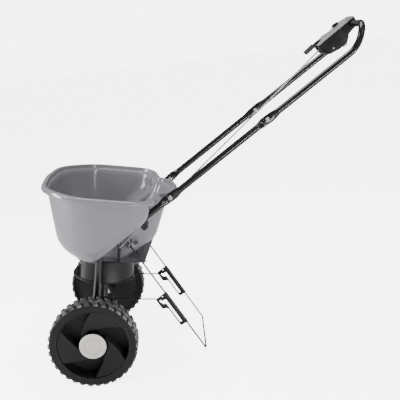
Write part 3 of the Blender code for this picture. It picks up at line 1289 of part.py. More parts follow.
def console_cover():
    """The pale moulded lid over the housing, stepped up towards its middle."""
    base = COVER_BASE + RUNNING_GAP
    outline = [(2 * MM, base), (CONSOLE_LENGTH, base), (CONSOLE_LENGTH, base + 5 * MM),
               (100 * MM, base + 9 * MM), (62 * MM, base + 6 * MM), (34 * MM, base + 9 * MM), (2 * MM, base + 4 * MM)]
    points = rounded(console_frame(outline), [0, 0, 4 * MM, 10 * MM, 12 * MM, 10 * MM, 2 * MM], steps=3)
    body = plate("console_cover", points, "X", -CONSOLE_HALF_WIDTH, CONSOLE_HALF_WIDTH)
    slot = console_frame([(-5 * MM, base - 9 * MM), (59 * MM, base - 9 * MM), (59 * MM, base + 20 * MM),
                          (-5 * MM, base + 20 * MM)])
    cut(body, plate("cover_slot", slot, "X", LEVER_X - LEVER_THICKNESS / 2 - 1.2 * MM,
                    LEVER_X + LEVER_THICKNESS / 2 + 1.2 * MM, cutter=True))
    dial = dial_axis()
    cut(body, rod("cover_dial_hole", dial[0] - dial[1] * 30 * MM, dial[0] + dial[1] * 20 * MM, 4 * MM + RUNNING_GAP,
                  sides=20, cutter=True))
    finish(body, "clear_grey")


def dial_axis():
    """The rate dial's seat on the cover and the direction it faces."""
    base, top = console_frame([(81 * MM, COVER_BASE + 8 * MM), (81 * MM, COVER_BASE + 9 * MM)])
    direction = Vector((0, top.x - base.x, top.y - base.y)).normalized()
    return Vector((-11 * MM, base.x, base.y)), direction


def rate_dial():
    """The dial that sets how far the gate opens."""
    seat, direction = dial_axis()
    body = rod("rate_dial", seat + direction * 1.5 * MM, seat + direction * 7 * MM, 11 * MM, 10 * MM, sides=24)
    join(body, rod("dial_stem", seat - direction * 14 * MM, seat + direction * 3 * MM, 4 * MM, sides=20, cutter=True))
    finish(body, "black_plastic", seat)


def lever_pin():
    pivot = LEVER_PIVOT
    finish(rod("lever_pin", (-29 * MM, pivot.y, pivot.z), (29 * MM, pivot.y, pivot.z), 3 * MM, sides=16),
           "zinc_steel")


def clamp_places(*levels):
    return [Vector((0, *console_frame([(68 * MM, level)])[0])) for level in levels]


def console_clamp():
    """The clamp knob and its stud under the housing, which pinch it onto the crossbar."""
    low, high, tip = clamp_places(-36 * MM, -28.4 * MM, -15 * MM)
    body = rod("console_clamp", low, high, 8 * MM, 9 * MM, sides=10)
    join(body, rod("clamp_stud", low + (high - low) / 2, tip, 3 * MM, sides=12, cutter=True))
    finish(body, "zinc_steel")


def rod_guide():
    """The moulded block under the left tube, pegged into it, whose eye steadies the control rod."""
    foot, head = Vector(ROD_FOOT), Vector(ROD_HEAD)
    direction = (head - foot).normalized()
    eye_x = foot.x + direction.x * (on_slope(GUIDE_RUN).y - foot.y) / direction.y
    top, low = GROOVE_DEPTH + 0.8 * MM, 27 * MM
    corners = [on_slope(GUIDE_RUN + run, side) for run, side in ((-9 * MM, top), (-9 * MM, low), (9 * MM, low),
                                                               (9 * MM, top))]
    outline = rounded([Vector((corner.y, corner.z)) for corner in corners], [0, 4 * MM, 4 * MM, 0], steps=3)
    body = plate("rod_guide", outline, "X", eye_x - 7 * MM, TUBE_X + 7 * MM)
    cut(body, rod("guide_bore", foot + direction * 50 * MM, foot + direction * 180 * MM,
                  ROD_RADIUS + RUNNING_GAP, sides=16, cutter=True))
    cut(body, rod("guide_seat", on_slope(0, x=TUBE_X), on_slope(LOWER_JOINT_RUN, x=TUBE_X),
                  TUBE_RADIUS + RUNNING_GAP, sides=32, cutter=True))
    join(body, rod("guide_peg", on_slope(GUIDE_RUN, 5.5 * MM, TUBE_X), on_slope(GUIDE_RUN, 15 * MM, TUBE_X),
                   GUIDE_PEG, sides=12, cutter=True))
    finish(body, "black_plastic")


# ---------------------------------------------------------------- assembly

MACHINE = machine_empty()
make_materials()
for side_name, side_sign in (("left", 1), ("right", -1)):
    side_tubes(side_name, side_sign)
    joint_fasteners(side_name, side_sign)
    hopper_screws(side_name, side_sign)
    axle_bushings(side_name, side_sign)
    wheel(side_name, side_sign)
    hub_cap(side_name, side_sign)
    axle_pin(side_name, side_sign)
    clip(side_name, side_sign)
    strut(side_name, side_sign)
    strut_bracket(side_name, side_sign)
upper_handle()
hopper()
gate()
base_plate()
shroud()
plate_screws()
axle()
drive_pin()
crown_gear()
pinion()
impeller_shaft()
impeller()
agitator()
gearbox()
stand_wire()
control_rod()
control_lever()
lever_grip()
lever_pin()
console_body()
console_cover()
rate_dial()
console_clamp()
rod_guide()
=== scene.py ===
"""Walk-behind garden spreader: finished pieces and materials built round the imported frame."""
import json
import math

import bmesh
import bpy
from mathutils import Matrix, Vector


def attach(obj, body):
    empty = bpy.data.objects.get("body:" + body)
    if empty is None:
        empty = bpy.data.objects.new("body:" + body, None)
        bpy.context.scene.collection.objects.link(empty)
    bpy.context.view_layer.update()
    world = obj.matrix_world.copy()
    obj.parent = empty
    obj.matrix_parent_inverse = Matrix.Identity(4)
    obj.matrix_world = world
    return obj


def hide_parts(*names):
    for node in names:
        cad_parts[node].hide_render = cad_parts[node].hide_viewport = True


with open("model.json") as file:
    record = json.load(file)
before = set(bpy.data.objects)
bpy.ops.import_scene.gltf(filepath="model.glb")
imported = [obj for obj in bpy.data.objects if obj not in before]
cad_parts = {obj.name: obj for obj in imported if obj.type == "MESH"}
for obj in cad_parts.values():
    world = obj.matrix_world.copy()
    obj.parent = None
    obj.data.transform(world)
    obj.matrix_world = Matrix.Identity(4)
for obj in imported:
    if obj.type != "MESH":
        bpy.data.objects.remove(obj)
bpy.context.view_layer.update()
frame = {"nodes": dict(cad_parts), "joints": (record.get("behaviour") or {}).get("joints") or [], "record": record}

bl_info = {
    "name": "Garden spreader",
    "version": (1, 0, 0),
    "blender": (4, 5, 0),
    "location": "View3D > Sidebar > Spreader",
    "description": "Builds the finished pieces, materials and studio of a walk-behind spreader",
    "category": "Object",
}

MM = 0.001
JOINTS = {joint["name"]: joint for joint in frame["joints"]}
AXLE = Vector(JOINTS["axle_turn"]["pos_m"])
UPRIGHT = Vector(JOINTS["spinner_turn"]["axis"])
# The machine's own frame: level hopper, axle along X through the origin, handle towards +Y.
MACHINE = Matrix.Translation(AXLE) @ Vector((0, 0, 1)).rotation_difference(UPRIGHT).to_matrix().to_4x4()
LEAN = math.atan2(UPRIGHT.y, UPRIGHT.z)
BODY = {node: body for body, nodes in frame["record"]["behaviour"]["bodies"].items() for node in nodes}
SLOT = {part["node"]: part["material_slot"] for part in frame["record"]["subparts"]}
MATERIALS = {}
GROUPS = {}
SIDES = (("left", 1), ("right", -1))

# Tube frame, in the machine's frame
TUBE_RADIUS = 9.5 * MM
TUBE_X = 129 * MM
LEG_Y = -8 * MM
BEND_Z = 225 * MM
BEND_RADIUS = 42 * MM
SLOPE = math.radians(44.2)
LOWER_JOINT, UPPER_JOINT, HANDLE_TOP, HANDLE_RISE = 264 * MM, 611 * MM, 918 * MM, 64 * MM
FLAT_THICKNESS, FLAT_WIDTH, PAST_SCREW = 5 * MM, 26 * MM, 13 * MM
JOINT_PRESS = (26 * MM, 26 * MM)
FOOT_PRESS = (80 * MM, 45 * MM)
BEND = Vector((0, LEG_Y, BEND_Z))
UP_SLOPE = Vector((0, math.cos(SLOPE), math.sin(SLOPE)))
OFF_SLOPE = Vector((0, math.sin(SLOPE), -math.cos(SLOPE)))

# Wheel, along the axle and outwards from it
TREAD = 121 * MM
LUG_TOP = 124.6 * MM

# Stand, struts and control rod
STAND_PIVOT = Vector((0, 80 * MM, 250 * MM))
STAND_TURN = math.radians(-50.8)
STAND_X = 111.5 * MM
STAND_DIR = Vector((0, math.cos(STAND_TURN), math.sin(STAND_TURN)))
STAND_SIDE = Vector((0, math.sin(STAND_TURN), -math.cos(STAND_TURN)))
STRUT_PIVOT = Vector((0, 36 * MM, 80 * MM))
STRUT_X = 104 * MM
ROD_FOOT = Vector((100, 46, 238)) * MM
ROD_HEAD = Vector((0, 590, 864)) * MM


# --- shapes


def rounded(points, radii, closed=True, steps=6):
    """A polyline with each corner replaced by an arc of its own radius."""
    points = [Vector(point) for point in points]
    result = []
    for index, (corner, radius) in enumerate(zip(points, radii)):
        if radius <= 0 or (not closed and index in (0, len(points) - 1)):
            result.append(corner)
            continue
        back, ahead = points[index - 1] - corner, points[(index + 1) % len(points)] - corner
        room = 0.48 * min(back.length, ahead.length)
        back, ahead = back.normalized(), ahead.normalized()
        half = back.angle(ahead) / 2
        radius = min(radius, room * math.tan(half))
        centre = corner + (back + ahead).normalized() * (radius / math.sin(half))
        first = corner + back * (radius / math.tan(half)) - centre
        last = corner + ahead * (radius / math.tan(half)) - centre
        sweep = first.angle(last)
        for step in range(steps + 1):
            share = step / steps
            result.append(centre + (first * math.sin((1 - share) * sweep) + last * math.sin(share * sweep))
                          / math.sin(sweep))
    return result


def loop_edges(verts):
    """The edges that join neighbours of one ring."""
    ring, found = set(verts), []
    for vert in verts:
        found += [edge for edge in vert.link_edges
                  if edge.other_vert(vert) in ring and edge not in found]
    return found


def swept(bm, path, sizes, sides=20, across=(1, 0, 0)):
    """A bar along a path, with a pair of half sizes at each point, closed at both ends."""
    across, loops = Vector(across), []
    for index, (centre, (half_a, half_n)) in enumerate(zip(path, sizes)):
        tangent = (path[min(index + 1, len(path) - 1)] - path[max(index - 1, 0)]).normalized()
        across = (across - tangent * across.dot(tangent)).normalized()
        normal = tangent.cross(across)
        place = Matrix((across * half_a, normal * half_n, tangent)).transposed().to_4x4()
        place.translation = centre
        made = bmesh.ops.create_circle(bm, cap_ends=index in (0, len(path) - 1), radius=1.0, segments=sides,
                                       matrix=place)
        loops.append(loop_edges(made["verts"]))
    for first, second in zip(loops, loops[1:]):
        bmesh.ops.bridge_loops(bm, edges=first + second)


def even(path, radius):
    return [(radius, radius)] * len(path)


def round_bar(bm, points, radii, radius, sides=14, steps=6):
    """A bent wire with softly rounded tips."""
    path = rounded(points, radii, closed=False, steps=steps)
    first, last = (path[1] - path[0]).normalized(), (path[-2] - path[-1]).normalized()
    dips = ((0.0, 0.35), (0.15, 0.7), (0.5, 0.93), (1.0, 1.0))
    head = [path[0] + first * radius * depth for depth, _ in dips]
    tail = [path[-1] + last * radius * depth for depth, _ in reversed(dips)]
    sizes = [(radius * share, radius * share) for _, share in dips]
    middle = path[1:-1]
    swept(bm, head + middle + tail, sizes + even(middle, radius) + sizes[::-1], sides,
          across=(0.3, 0.9, 0.2))


def spun(bm, profile, steps=72, axis=(1, 0, 0), centre=(0, 0, 0), closed=True):
    """A profile of (radius, along) pairs turned about an axis through a centre."""
    axis, centre = Vector(axis).normalized(), Vector(centre)
    side = axis.orthogonal().normalized()
    verts = [bm.verts.new(centre + side * radius + axis * along) for radius, along in profile]
    pairs = zip(verts, verts[1:] + (verts[:1] if closed else []))
    edges = [bm.edges.new(pair) for pair in pairs]
    made = bmesh.ops.spin(bm, geom=verts + edges, cent=centre, axis=axis, angle=2 * math.pi, steps=steps,
                          use_merge=True)
    bmesh.ops.remove_doubles(bm, verts=bm.verts, dist=1e-6)
    return made


def sharp_edges(bm, angle=35):
    limit = math.radians(angle)
    return [edge for edge in bm.edges
            if len(edge.link_faces) == 2 and edge.calc_face_angle(0.0) > limit]


def bevel(bm, edges, width, segments=2):
    bmesh.ops.bevel(bm, geom=edges, offset=width, offset_type="OFFSET", segments=segments, profile=0.5,
                    affect="EDGES", clamp_overlap=True, material=-1)


def block(bm, low, high, width=0.0, segments=2, turn=None):
    """A box with rounded edges."""
    low, high = Vector(low), Vector(high)
    part = bmesh.new()
    bmesh.ops.create_cube(part, size=1.0, matrix=Matrix.Translation((low + high) / 2)
                          @ Matrix.Diagonal((*(high - low), 1)))
    if width:
        bevel(part, list(part.edges), width, segments)
    merge(bm, part, turn)


def merge(bm, part, turn=None):
    """Adds one bmesh to another, turned if asked."""
    mesh = bpy.data.meshes.new("part")
    bmesh.ops.recalc_face_normals(part, faces=part.faces)
    part.to_mesh(mesh)
    part.free()
    if turn is not None:
        mesh.transform(turn)
    bm.from_mesh(mesh)
    bpy.data.meshes.remove(mesh)


def plate(bm, outline, low, high, width=0.0, holes=(), segments=2, turn=None):
    """A flat outline with holes, drawn in (y, z), given a thickness along X and rounded edges."""
    part = bmesh.new()
    edges = []
    for loop in (outline, *holes):
        verts = [part.verts.new((low, place[0], place[1])) for place in loop]
        edges += [part.edges.new(pair) for pair in zip(verts, verts[1:] + verts[:1])]
    bmesh.ops.triangle_fill(part, use_beauty=True, use_dissolve=True, edges=edges, normal=(1, 0, 0))
    made = bmesh.ops.extrude_face_region(part, geom=part.faces)["geom"]
    moved = [item for item in made if isinstance(item, bmesh.types.BMVert)]
    bmesh.ops.translate(part, verts=moved, vec=(high - low, 0, 0))
    bmesh.ops.recalc_face_normals(part, faces=part.faces)
    if width:
        rims = [edge for edge in sharp_edges(part, 60)
                if abs(edge.verts[0].co.x - edge.verts[1].co.x) < 1e-7]
        bevel(part, rims, width, segments)
    merge(bm, part, turn)


def circle(radius, centre, sides=24):
    return [Vector((centre[0] + radius * math.cos(2 * math.pi * side / sides),
                    centre[1] + radius * math.sin(2 * math.pi * side / sides))) for side in range(sides)]


def piece(name, bm, nodes, angle=35, in_machine=True, material=None, outward=True):
    """Turns a bmesh into a finished piece that stands for its CAD nodes."""
    if outward:
        bmesh.ops.remove_doubles(bm, verts=bm.verts, dist=1e-6)
        bmesh.ops.recalc_face_normals(bm, faces=bm.faces)
    mesh = bpy.data.meshes.new(name)
    bm.to_mesh(mesh)
    bm.free()
    if in_machine:
        mesh.transform(MACHINE)
    slot = SLOT[nodes[0]]
    mesh.materials.append(MATERIALS[material or slot])
    mesh.shade_smooth()
    mesh.set_sharp_from_angle(angle=math.radians(angle))
    obj = bpy.data.objects.new(name, mesh)
    bpy.context.scene.collection.objects.link(obj)
    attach(obj, BODY[nodes[0]])
    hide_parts(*nodes)
    return obj


def softened(node, width=0.6 * MM, segments=2, angle=30, material=None):
    """A CAD solid's copy, merged, with every hard edge rounded as a mould leaves it."""
    bm = bmesh.new()
    bm.from_mesh(frame["nodes"][node].data)
    bmesh.ops.remove_doubles(bm, verts=bm.verts, dist=2e-6)
    bmesh.ops.dissolve_limit(bm, angle_limit=math.radians(1.5), verts=bm.verts, edges=bm.edges)
    obj = piece(node + "_moulding", bm, (node,), in_machine=False, material=material, outward=False)
    modifier = obj.modifiers.new("rounded edges", "BEVEL")
    modifier.width = width
    modifier.segments = segments
    modifier.limit_method = "ANGLE"
    modifier.angle_limit = math.radians(angle)
    return obj


# --- materials


def add(tree, kind, inputs=None, **settings):
    """A node with its settings, and its inputs given as values or as other nodes' sockets."""
    made = tree.nodes.new(kind)
    for key, value in settings.items():
        setattr(made, key, value)
    for key, value in (inputs or {}).items():
        if isinstance(value, bpy.types.NodeSocket):
            tree.links.new(value, made.inputs[key])
        else:
            made.inputs[key].default_value = value
    return made


def group(name, inputs, output):
    """An empty shader node group with number inputs and one number output."""
    tree = bpy.data.node_groups.new(name, "ShaderNodeTree")
    tree.interface.new_socket(name="Vector", in_out="INPUT", socket_type="NodeSocketVector")
    for socket, default in inputs.items():
        tree.interface.new_socket(name=socket, in_out="INPUT",
                                  socket_type="NodeSocketFloat").default_value = default
    tree.interface.new_socket(name=output, in_out="OUTPUT", socket_type="NodeSocketFloat")
    GROUPS[name] = tree
    return tree, tree.nodes.new("NodeGroupInput").outputs, tree.nodes.new("NodeGroupOutput").inputs


def math_node(tree, operation, *values):
    made = tree.nodes.new("ShaderNodeMath")
    made.operation = operation
    for socket, value in zip(made.inputs, values):
        if isinstance(value, bpy.types.NodeSocket):
            tree.links.new(value, socket)
        else:
            socket.default_value = value
    return made.outputs[0]


def spread(tree, value, low, high, to_low=0.0, to_high=1.0):
    return add(tree, "ShaderNodeMapRange", {"Value": value, "From Min": low, "From Max": high,
                                            "To Min": to_low, "To Max": to_high}).outputs["Result"]


def build_groups():
    """The surface effects that the finishes share."""
    tree, given, out = group("mottle", {"Scale": 40.0}, "Mask")
    broad = add(tree, "ShaderNodeTexNoise", {"Vector": given["Vector"],
                                             "Scale": given["Scale"], "Detail": 5.0,
                                             "Roughness": 0.6})
    tree.links.new(spread(tree, broad.outputs["Fac"], 0.35, 0.65), out["Mask"])

    tree, given, out = group("edge_wear", {"Low": 0.52, "High": 0.62, "Breakup": 90.0}, "Mask")
    point = add(tree, "ShaderNodeNewGeometry").outputs["Pointiness"]
    edge = add(tree, "ShaderNodeMapRange",
               {"Value": point, "From Min": given["Low"], "From Max": given["High"]})
    patch = add(tree, "ShaderNodeTexNoise",
                {"Vector": given["Vector"], "Scale": given["Breakup"], "Detail": 4.0})
    broken = spread(tree, patch.outputs["Fac"], 0.4, 0.62)
    tree.links.new(math_node(tree, "MULTIPLY", edge.outputs["Result"], broken), out["Mask"])

    tree, given, out = group("grain", {"Scale": 900.0}, "Height")
    fine = add(tree, "ShaderNodeTexNoise",
               {"Vector": given["Vector"], "Scale": given["Scale"], "Detail": 3.0})
    tree.links.new(fine.outputs["Fac"], out["Height"])

    tree, given, out = group("scuffs", {"Scale": 60.0, "Stretch": 14.0}, "Mask")
    squeeze = add(tree, "ShaderNodeCombineXYZ",
                  {"X": given["Stretch"], "Y": 1.0, "Z": given["Stretch"]})
    moved = add(tree, "ShaderNodeVectorMath", {0: given["Vector"], 1: squeeze.outputs[0]},
                operation="MULTIPLY")
    lines = add(tree, "ShaderNodeTexNoise", {"Vector": moved.outputs[0],
                                             "Scale": given["Scale"], "Detail": 6.0,
                                             "Roughness": 0.7})
    tree.links.new(spread(tree, lines.outputs["Fac"], 0.6, 0.74), out["Mask"])

    tree, given, out = group("settled_dust", {"Scale": 35.0}, "Mask")
    normal = add(tree, "ShaderNodeNewGeometry").outputs["Normal"]
    facing = add(tree, "ShaderNodeSeparateXYZ", {0: normal})
    upward = spread(tree, facing.outputs["Z"], 0.35, 1.0)
    drift = add(tree, "ShaderNodeTexNoise",
                {"Vector": given["Vector"], "Scale": given["Scale"], "Detail": 6.0})
    patchy = spread(tree, drift.outputs["Fac"], 0.4, 0.75)
    tree.links.new(math_node(tree, "MULTIPLY", upward, patchy), out["Mask"])


def call(tree, name, where, **values):
    made = add(tree, "ShaderNodeGroup", node_tree=GROUPS[name])
    tree.links.new(where, made.inputs["Vector"])
    for key, value in values.items():
        made.inputs[key.capitalize()].default_value = value
    return made.outputs[0]


def mixed(tree, factor, first, second):
    made = tree.nodes.new("ShaderNodeMix")
    made.data_type = "RGBA"
    for socket, value in zip((made.inputs[0], made.inputs[6], made.inputs[7]), (factor, first, second)):
        if isinstance(value, bpy.types.NodeSocket):
            tree.links.new(value, socket)
        else:
            socket.default_value = value
    return made.outputs[2]


def surface(name, colour, second, worn, rough, grain, wear=0.5, dust=0.1, scuff=0.15, mottle=40.0,
            metallic=0.0, coat=0.0, specular=0.5, dust_colour=(0.45, 0.43, 0.40)):
    """One finish: two mottled tones, worn edges, scuffs, dust, and a bumped grain."""
    material = bpy.data.materials.new(name)
    material.use_nodes = True
    tree = material.node_tree
    shader = tree.nodes["Principled BSDF"]
    where = add(tree, "ShaderNodeTexCoord").outputs["Object"]
    tone = call(tree, "mottle", where, scale=mottle)
    base = mixed(tree, tone, (*colour, 1), (*second, 1))
    scratched = call(tree, "scuffs", where)
    base = mixed(tree, math_node(tree, "MULTIPLY", scratched, scuff), base, (*worn, 1))
    edges = call(tree, "edge_wear", where)
    base = mixed(tree, math_node(tree, "MULTIPLY", edges, wear), base, (*worn, 1))
    settled = math_node(tree, "MULTIPLY", call(tree, "settled_dust", where), dust)
    base = mixed(tree, settled, base, (*dust_colour, 1))
    tree.links.new(base, shader.inputs["Base Color"])
    uneven = spread(tree, tone, 0.0, 1.0, rough[0], rough[1])
    uneven = math_node(tree, "ADD", uneven, math_node(tree, "MULTIPLY", scratched, 0.12))
    uneven = math_node(tree, "ADD", uneven, math_node(tree, "MULTIPLY", settled, 0.5))
    tree.links.new(uneven, shader.inputs["Roughness"])
    height = call(tree, "grain", where, scale=grain[0])
    bump = add(tree, "ShaderNodeBump",
               {"Strength": grain[1], "Distance": grain[2] * MM, "Height": height})
    tree.links.new(bump.outputs["Normal"], shader.inputs["Normal"])
    shader.inputs["Metallic"].default_value = metallic
    shader.inputs["Coat Weight"].default_value = coat
    shader.inputs["Coat Roughness"].default_value = 0.08
    shader.inputs["Specular IOR Level"].default_value = specular
    MATERIALS[name] = material


def build_materials(colours):
    build_groups()
    grey = tuple(colours.hopper)
    surface("hopper_plastic", grey, tuple(c * 0.96 for c in grey), (0.42, 0.42, 0.44), (0.12, 0.18),
            (300, 0.08, 0.3), wear=0.2, dust=0.03, scuff=0.05, mottle=12)
    surface("frame_paint", (0.004, 0.004, 0.0045), (0.007, 0.007, 0.008), (0.05, 0.05, 0.05),
            (0.12, 0.20), (420, 0.12, 0.2), wear=0.25, dust=0.01, scuff=0.03)
    surface("black_plastic", (0.005, 0.005, 0.006), (0.009, 0.009, 0.010), (0.06, 0.06, 0.065),
            (0.30, 0.42), (1500, 0.35, 0.12), wear=0.4, dust=0.01, scuff=0.05, specular=0.3)
    surface("wheel_plastic", tuple(colours.wheel), tuple(c * 1.5 for c in colours.wheel),
            (0.12, 0.12, 0.125), (0.38, 0.5), (1300, 0.45, 0.16), wear=0.45, dust=0.01, scuff=0.05,
            mottle=55, specular=0.25)
    # Tread finish: a lighter tone than the wheel and strongly paled lug edges. This is ground wear and dust, and
    # also a painted highlight standing in for the shine on the lugs.
    surface("tread_wear_and_painted_sheen", (0.022, 0.022, 0.023), (0.034, 0.034, 0.036), (0.30, 0.30, 0.31),
            (0.26, 0.38), (1100, 0.5, 0.2), wear=0.8, dust=0.08, scuff=0.15, mottle=80)
    surface("cap_plastic", tuple(colours.cap), tuple(c * 0.93 for c in colours.cap), (0.75, 0.73, 0.70),
            (0.32, 0.42), (900, 0.25, 0.12), wear=0.3, dust=0.1, scuff=0.08)
    surface("zinc_steel", (0.40, 0.40, 0.41), (0.28, 0.28, 0.29), (0.80, 0.80, 0.80), (0.22, 0.36),
            (1600, 0.2, 0.06), wear=0.5, dust=0.05, scuff=0.3, metallic=1.0)
    surface("clear_grey", (0.36, 0.37, 0.39), (0.29, 0.30, 0.32), (0.7, 0.7, 0.72), (0.10, 0.17),
            (500, 0.06, 0.2), wear=0.3, dust=0.06, scuff=0.10, coat=0.5)
    surface("gear_plastic", (0.70, 0.69, 0.64), (0.62, 0.60, 0.55), (0.8, 0.8, 0.78), (0.40, 0.52),
            (900, 0.3, 0.1), wear=0.3, dust=0.15, scuff=0.10)
    surface("grip_rubber", (0.012, 0.012, 0.013), (0.020, 0.020, 0.021), (0.07, 0.07, 0.07),
            (0.48, 0.62), (1200, 0.5, 0.2), wear=0.5, dust=0.10, scuff=0.15)
    for node, obj in frame["nodes"].items():
        obj.data.materials.clear()
        obj.data.materials.append(MATERIALS[SLOT[node]])


# --- tube frame


def on_slope(run, side=0.0, x=0.0):
    """A point along the handle line, measured from the bend; side is below the line."""
    return BEND + UP_SLOPE * run + OFF_SLOPE * side + Vector((x, 0, 0))


def pressed(distance, press):
    """How flat a tube is at a distance back from a pressed end: 1 is flat, 0 is round."""
    share = min(max((distance - press[0]) / press[1], 0.0), 1.0)
    return 1.0 - share * share * (3 - 2 * share)


END_STEPS = (0.0, 0.4, 1.6, 3.6, 6.5, 10.0, 13.0)
PRESS_STEPS = (0.0, 0.12, 0.25, 0.4, 0.55, 0.7, 0.85, 1.0)


def tube(name, path, press_start, press_end, shift_start, shift_end, round_start=True, round_end=True):
    """A tube whose two ends are pressed flat, rounded like tongues and set sideways at a joint."""
    def stations(press):
        slope = [press[0] + press[1] * share for share in PRESS_STEPS]
        return [step * MM for step in END_STEPS] + slope
    first = (path[1] - path[0]).normalized()
    last = (path[-2] - path[-1]).normalized()
    head = [path[0] + first * place for place in stations(press_start)]
    tail = [path[-1] + last * place for place in reversed(stations(press_end))]
    path = head + path[1:-1] + tail
    lengths = [0.0]
    for one, two in zip(path, path[1:]):
        lengths.append(lengths[-1] + (two - one).length)
    total, reach = lengths[-1], FLAT_WIDTH / 2
    placed, sizes = [], []
    for centre, length in zip(path, lengths):
        start, end = pressed(length, press_start), pressed(total - length, press_end)
        flat = max(start, end)
        half_n = TUBE_RADIUS + (reach - TUBE_RADIUS) * flat
        half_x = TUBE_RADIUS + (FLAT_THICKNESS / 2 - TUBE_RADIUS) * flat
        near = min(length if round_start else reach, total - length if round_end else reach)
        if near < reach:
            half_n = max(math.sqrt(reach ** 2 - (reach - near) ** 2), 1.2 * MM)
            half_x *= 0.55 + 0.45 * min(near / (2 * MM), 1.0)
        placed.append(centre + Vector((start * shift_start + end * shift_end, 0, 0)))
        sizes.append((half_x, half_n))
    bm = bmesh.new()
    swept(bm, placed, sizes, 24)
    return piece(name + "_tube", bm, (name,), angle=50)


def build_tubes():
    shift = (FLAT_THICKNESS + 0.3 * MM) / 2
    for side, sign in SIDES:
        x = sign * TUBE_X
        foot, top = Vector((x, LEG_Y, -PAST_SCREW)), on_slope(LOWER_JOINT + PAST_SCREW, x=x)
        path = rounded((foot, on_slope(0, x=x), top), (0, BEND_RADIUS, 0), closed=False, steps=12)
        tube(f"lower_tube_{side}", path, FOOT_PRESS, JOINT_PRESS, 0.0, -sign * shift)
        ends = [on_slope(LOWER_JOINT - PAST_SCREW, x=x), on_slope((LOWER_JOINT + UPPER_JOINT) / 2, x=x),
                on_slope(UPPER_JOINT + PAST_SCREW, x=x)]
        tube(f"middle_tube_{side}", ends, JOINT_PRESS, JOINT_PRESS, sign * shift, -sign * shift)
    corner = on_slope(HANDLE_TOP)
    rise = Vector((0, corner.y + 5 * MM, corner.z + HANDLE_RISE))
    points = []
    for sign in (1, -1):
        x = Vector((sign * TUBE_X, 0, 0))
        leg = [on_slope(UPPER_JOINT - PAST_SCREW) + x, corner + x, rise + x]
        points += leg if sign > 0 else leg[::-1]
    path = rounded(points, (0, 78 * MM, 30 * MM, 30 * MM, 78 * MM, 0), closed=False, steps=10)
    tube("upper_handle", path, JOINT_PRESS, JOINT_PRESS, shift, -shift)


def pan_head(bm, centre, direction, radius, height, cross=True, spin=0.3):
    """A domed screw head with a cross recess; direction is the way the head faces."""
    direction = Vector(direction).normalized()
    turn = Vector((1, 0, 0)).rotation_difference(direction).to_matrix().to_4x4()
    turn.translation = Vector(centre)
    part = bmesh.new()
    if cross:
        star = []
        for arm in range(4):
            angle = arm * math.pi / 2 + spin
            ahead = Vector((math.cos(angle), math.sin(angle)))
            beside = Vector((-math.sin(angle), math.cos(angle)))
            wide, long = radius * 0.11, radius * 0.55
            star += [ahead * long - beside * wide, ahead * long + beside * wide,
                     (ahead + beside) * wide]
        top = height * 0.97
        plate(part, circle(radius * 0.62, (0, 0), 24), height * 0.35, top, 0.0, holes=[star])
        spun(part, [(radius * 0.60, height * 0.30), (radius * 0.60, top), (radius * 0.80, height * 0.82),
                    (radius * 0.94, height * 0.58), (radius, height * 0.2), (radius * 0.98, 0.0),
                    (radius * 0.60, 0.0)], 28)
        spun(part, [(0.0, 0.0), (radius * 0.63, 0.0), (radius * 0.63, height * 0.36),
                    (0.0, height * 0.36)], 28,
             closed=False)
    merge(bm, part, turn)


def build_joint_screws():
    stack = FLAT_THICKNESS + 0.45 * MM
    for side, sign in SIDES:
        for label, run in (("lower", LOWER_JOINT), ("upper", UPPER_JOINT)):
            middle = on_slope(run, x=sign * TUBE_X)
            outward = Vector((sign, 0, 0))
            bm = bmesh.new()
            pan_head(bm, middle + outward * stack, outward, 7 * MM, 4 * MM)
            tip = middle - outward * (stack + 6.5 * MM)
            part = bmesh.new()
            spun(part, [(0, 0), (3 * MM, 0), (3 * MM, 0.0165), (2.4 * MM, 0.0172), (0, 0.0172)], 24,
                 axis=-outward, centre=middle + outward * stack, closed=False)
            merge(bm, part)
            piece(f"{label}_joint_screw_{side}_head", bm, (f"{label}_joint_screw_{side}",))
            bm = bmesh.new()
            inside = middle - outward * stack
            across = 12 * MM / math.sqrt(3)
            hexagon = circle(across, (inside.y, inside.z), 6)
            low, high = sorted((inside.x, inside.x - sign * 5 * MM))
            plate(bm, hexagon, low, high, 0.7 * MM, holes=[circle(3.15 * MM, (inside.y, inside.z), 24)])
            piece(f"{label}_joint_nut_{side}_hex", bm, (f"{label}_joint_nut_{side}",))


# --- wheels


def polar(radius, degrees):
    turn = math.radians(degrees)
    return Vector((radius * math.cos(turn), radius * math.sin(turn)))


def bowed(start, end, bulge, share):
    """A point of a shallow arc between two points."""
    run = end - start
    return start + run * share + Vector((-run.y, run.x)).normalized() * (4 * bulge * share * (1 - share))


def swirl_blade(bm, sign, index):
    """One of the three swept blades: a gently dished sheet with a crisp edge and steep walls."""
    part = bmesh.new()
    made = bmesh.ops.create_grid(part, x_segments=16, y_segments=12, size=1.0)["verts"]
    for vert in made:
        along, over = (vert.co.x + 1) / 2, (vert.co.y + 1) / 2
        lead = bowed(Vector((-30.5, 24.4)), Vector((8.6, 98.1)), 4.5, along)
        trail = bowed(Vector((12.0, 40.5)), Vector((88.6, 43.2)), 3.0, along)
        radius = lead.length * (1 - over) + trail.length * over
        angle = math.degrees(math.atan2(lead.y, lead.x) * (1 - over)
                             + math.atan2(trail.y, trail.x) * over)
        place = polar(radius, angle)
        depth = 238.0 + 8.5 * max((radius - 38) / 60, 0) ** 1.6 + 1.6 * (1 - over)
        vert.co = (sign * depth * MM, place.x * MM, place.y * MM)
    root = bmesh.ops.extrude_face_region(part, geom=part.faces)["geom"]
    for vert in root:
        if isinstance(vert, bmesh.types.BMVert):
            vert.co.x = sign * 203 * MM
    bmesh.ops.recalc_face_normals(part, faces=part.faces)
    rims = [edge for edge in sharp_edges(part, 50) if min(abs(v.co.x) for v in edge.verts) > 225 * MM]
    bevel(part, rims, 0.9 * MM, 3)
    merge(bm, part, Matrix.Rotation(index * math.tau / 3 + LEAN, 4, "X"))


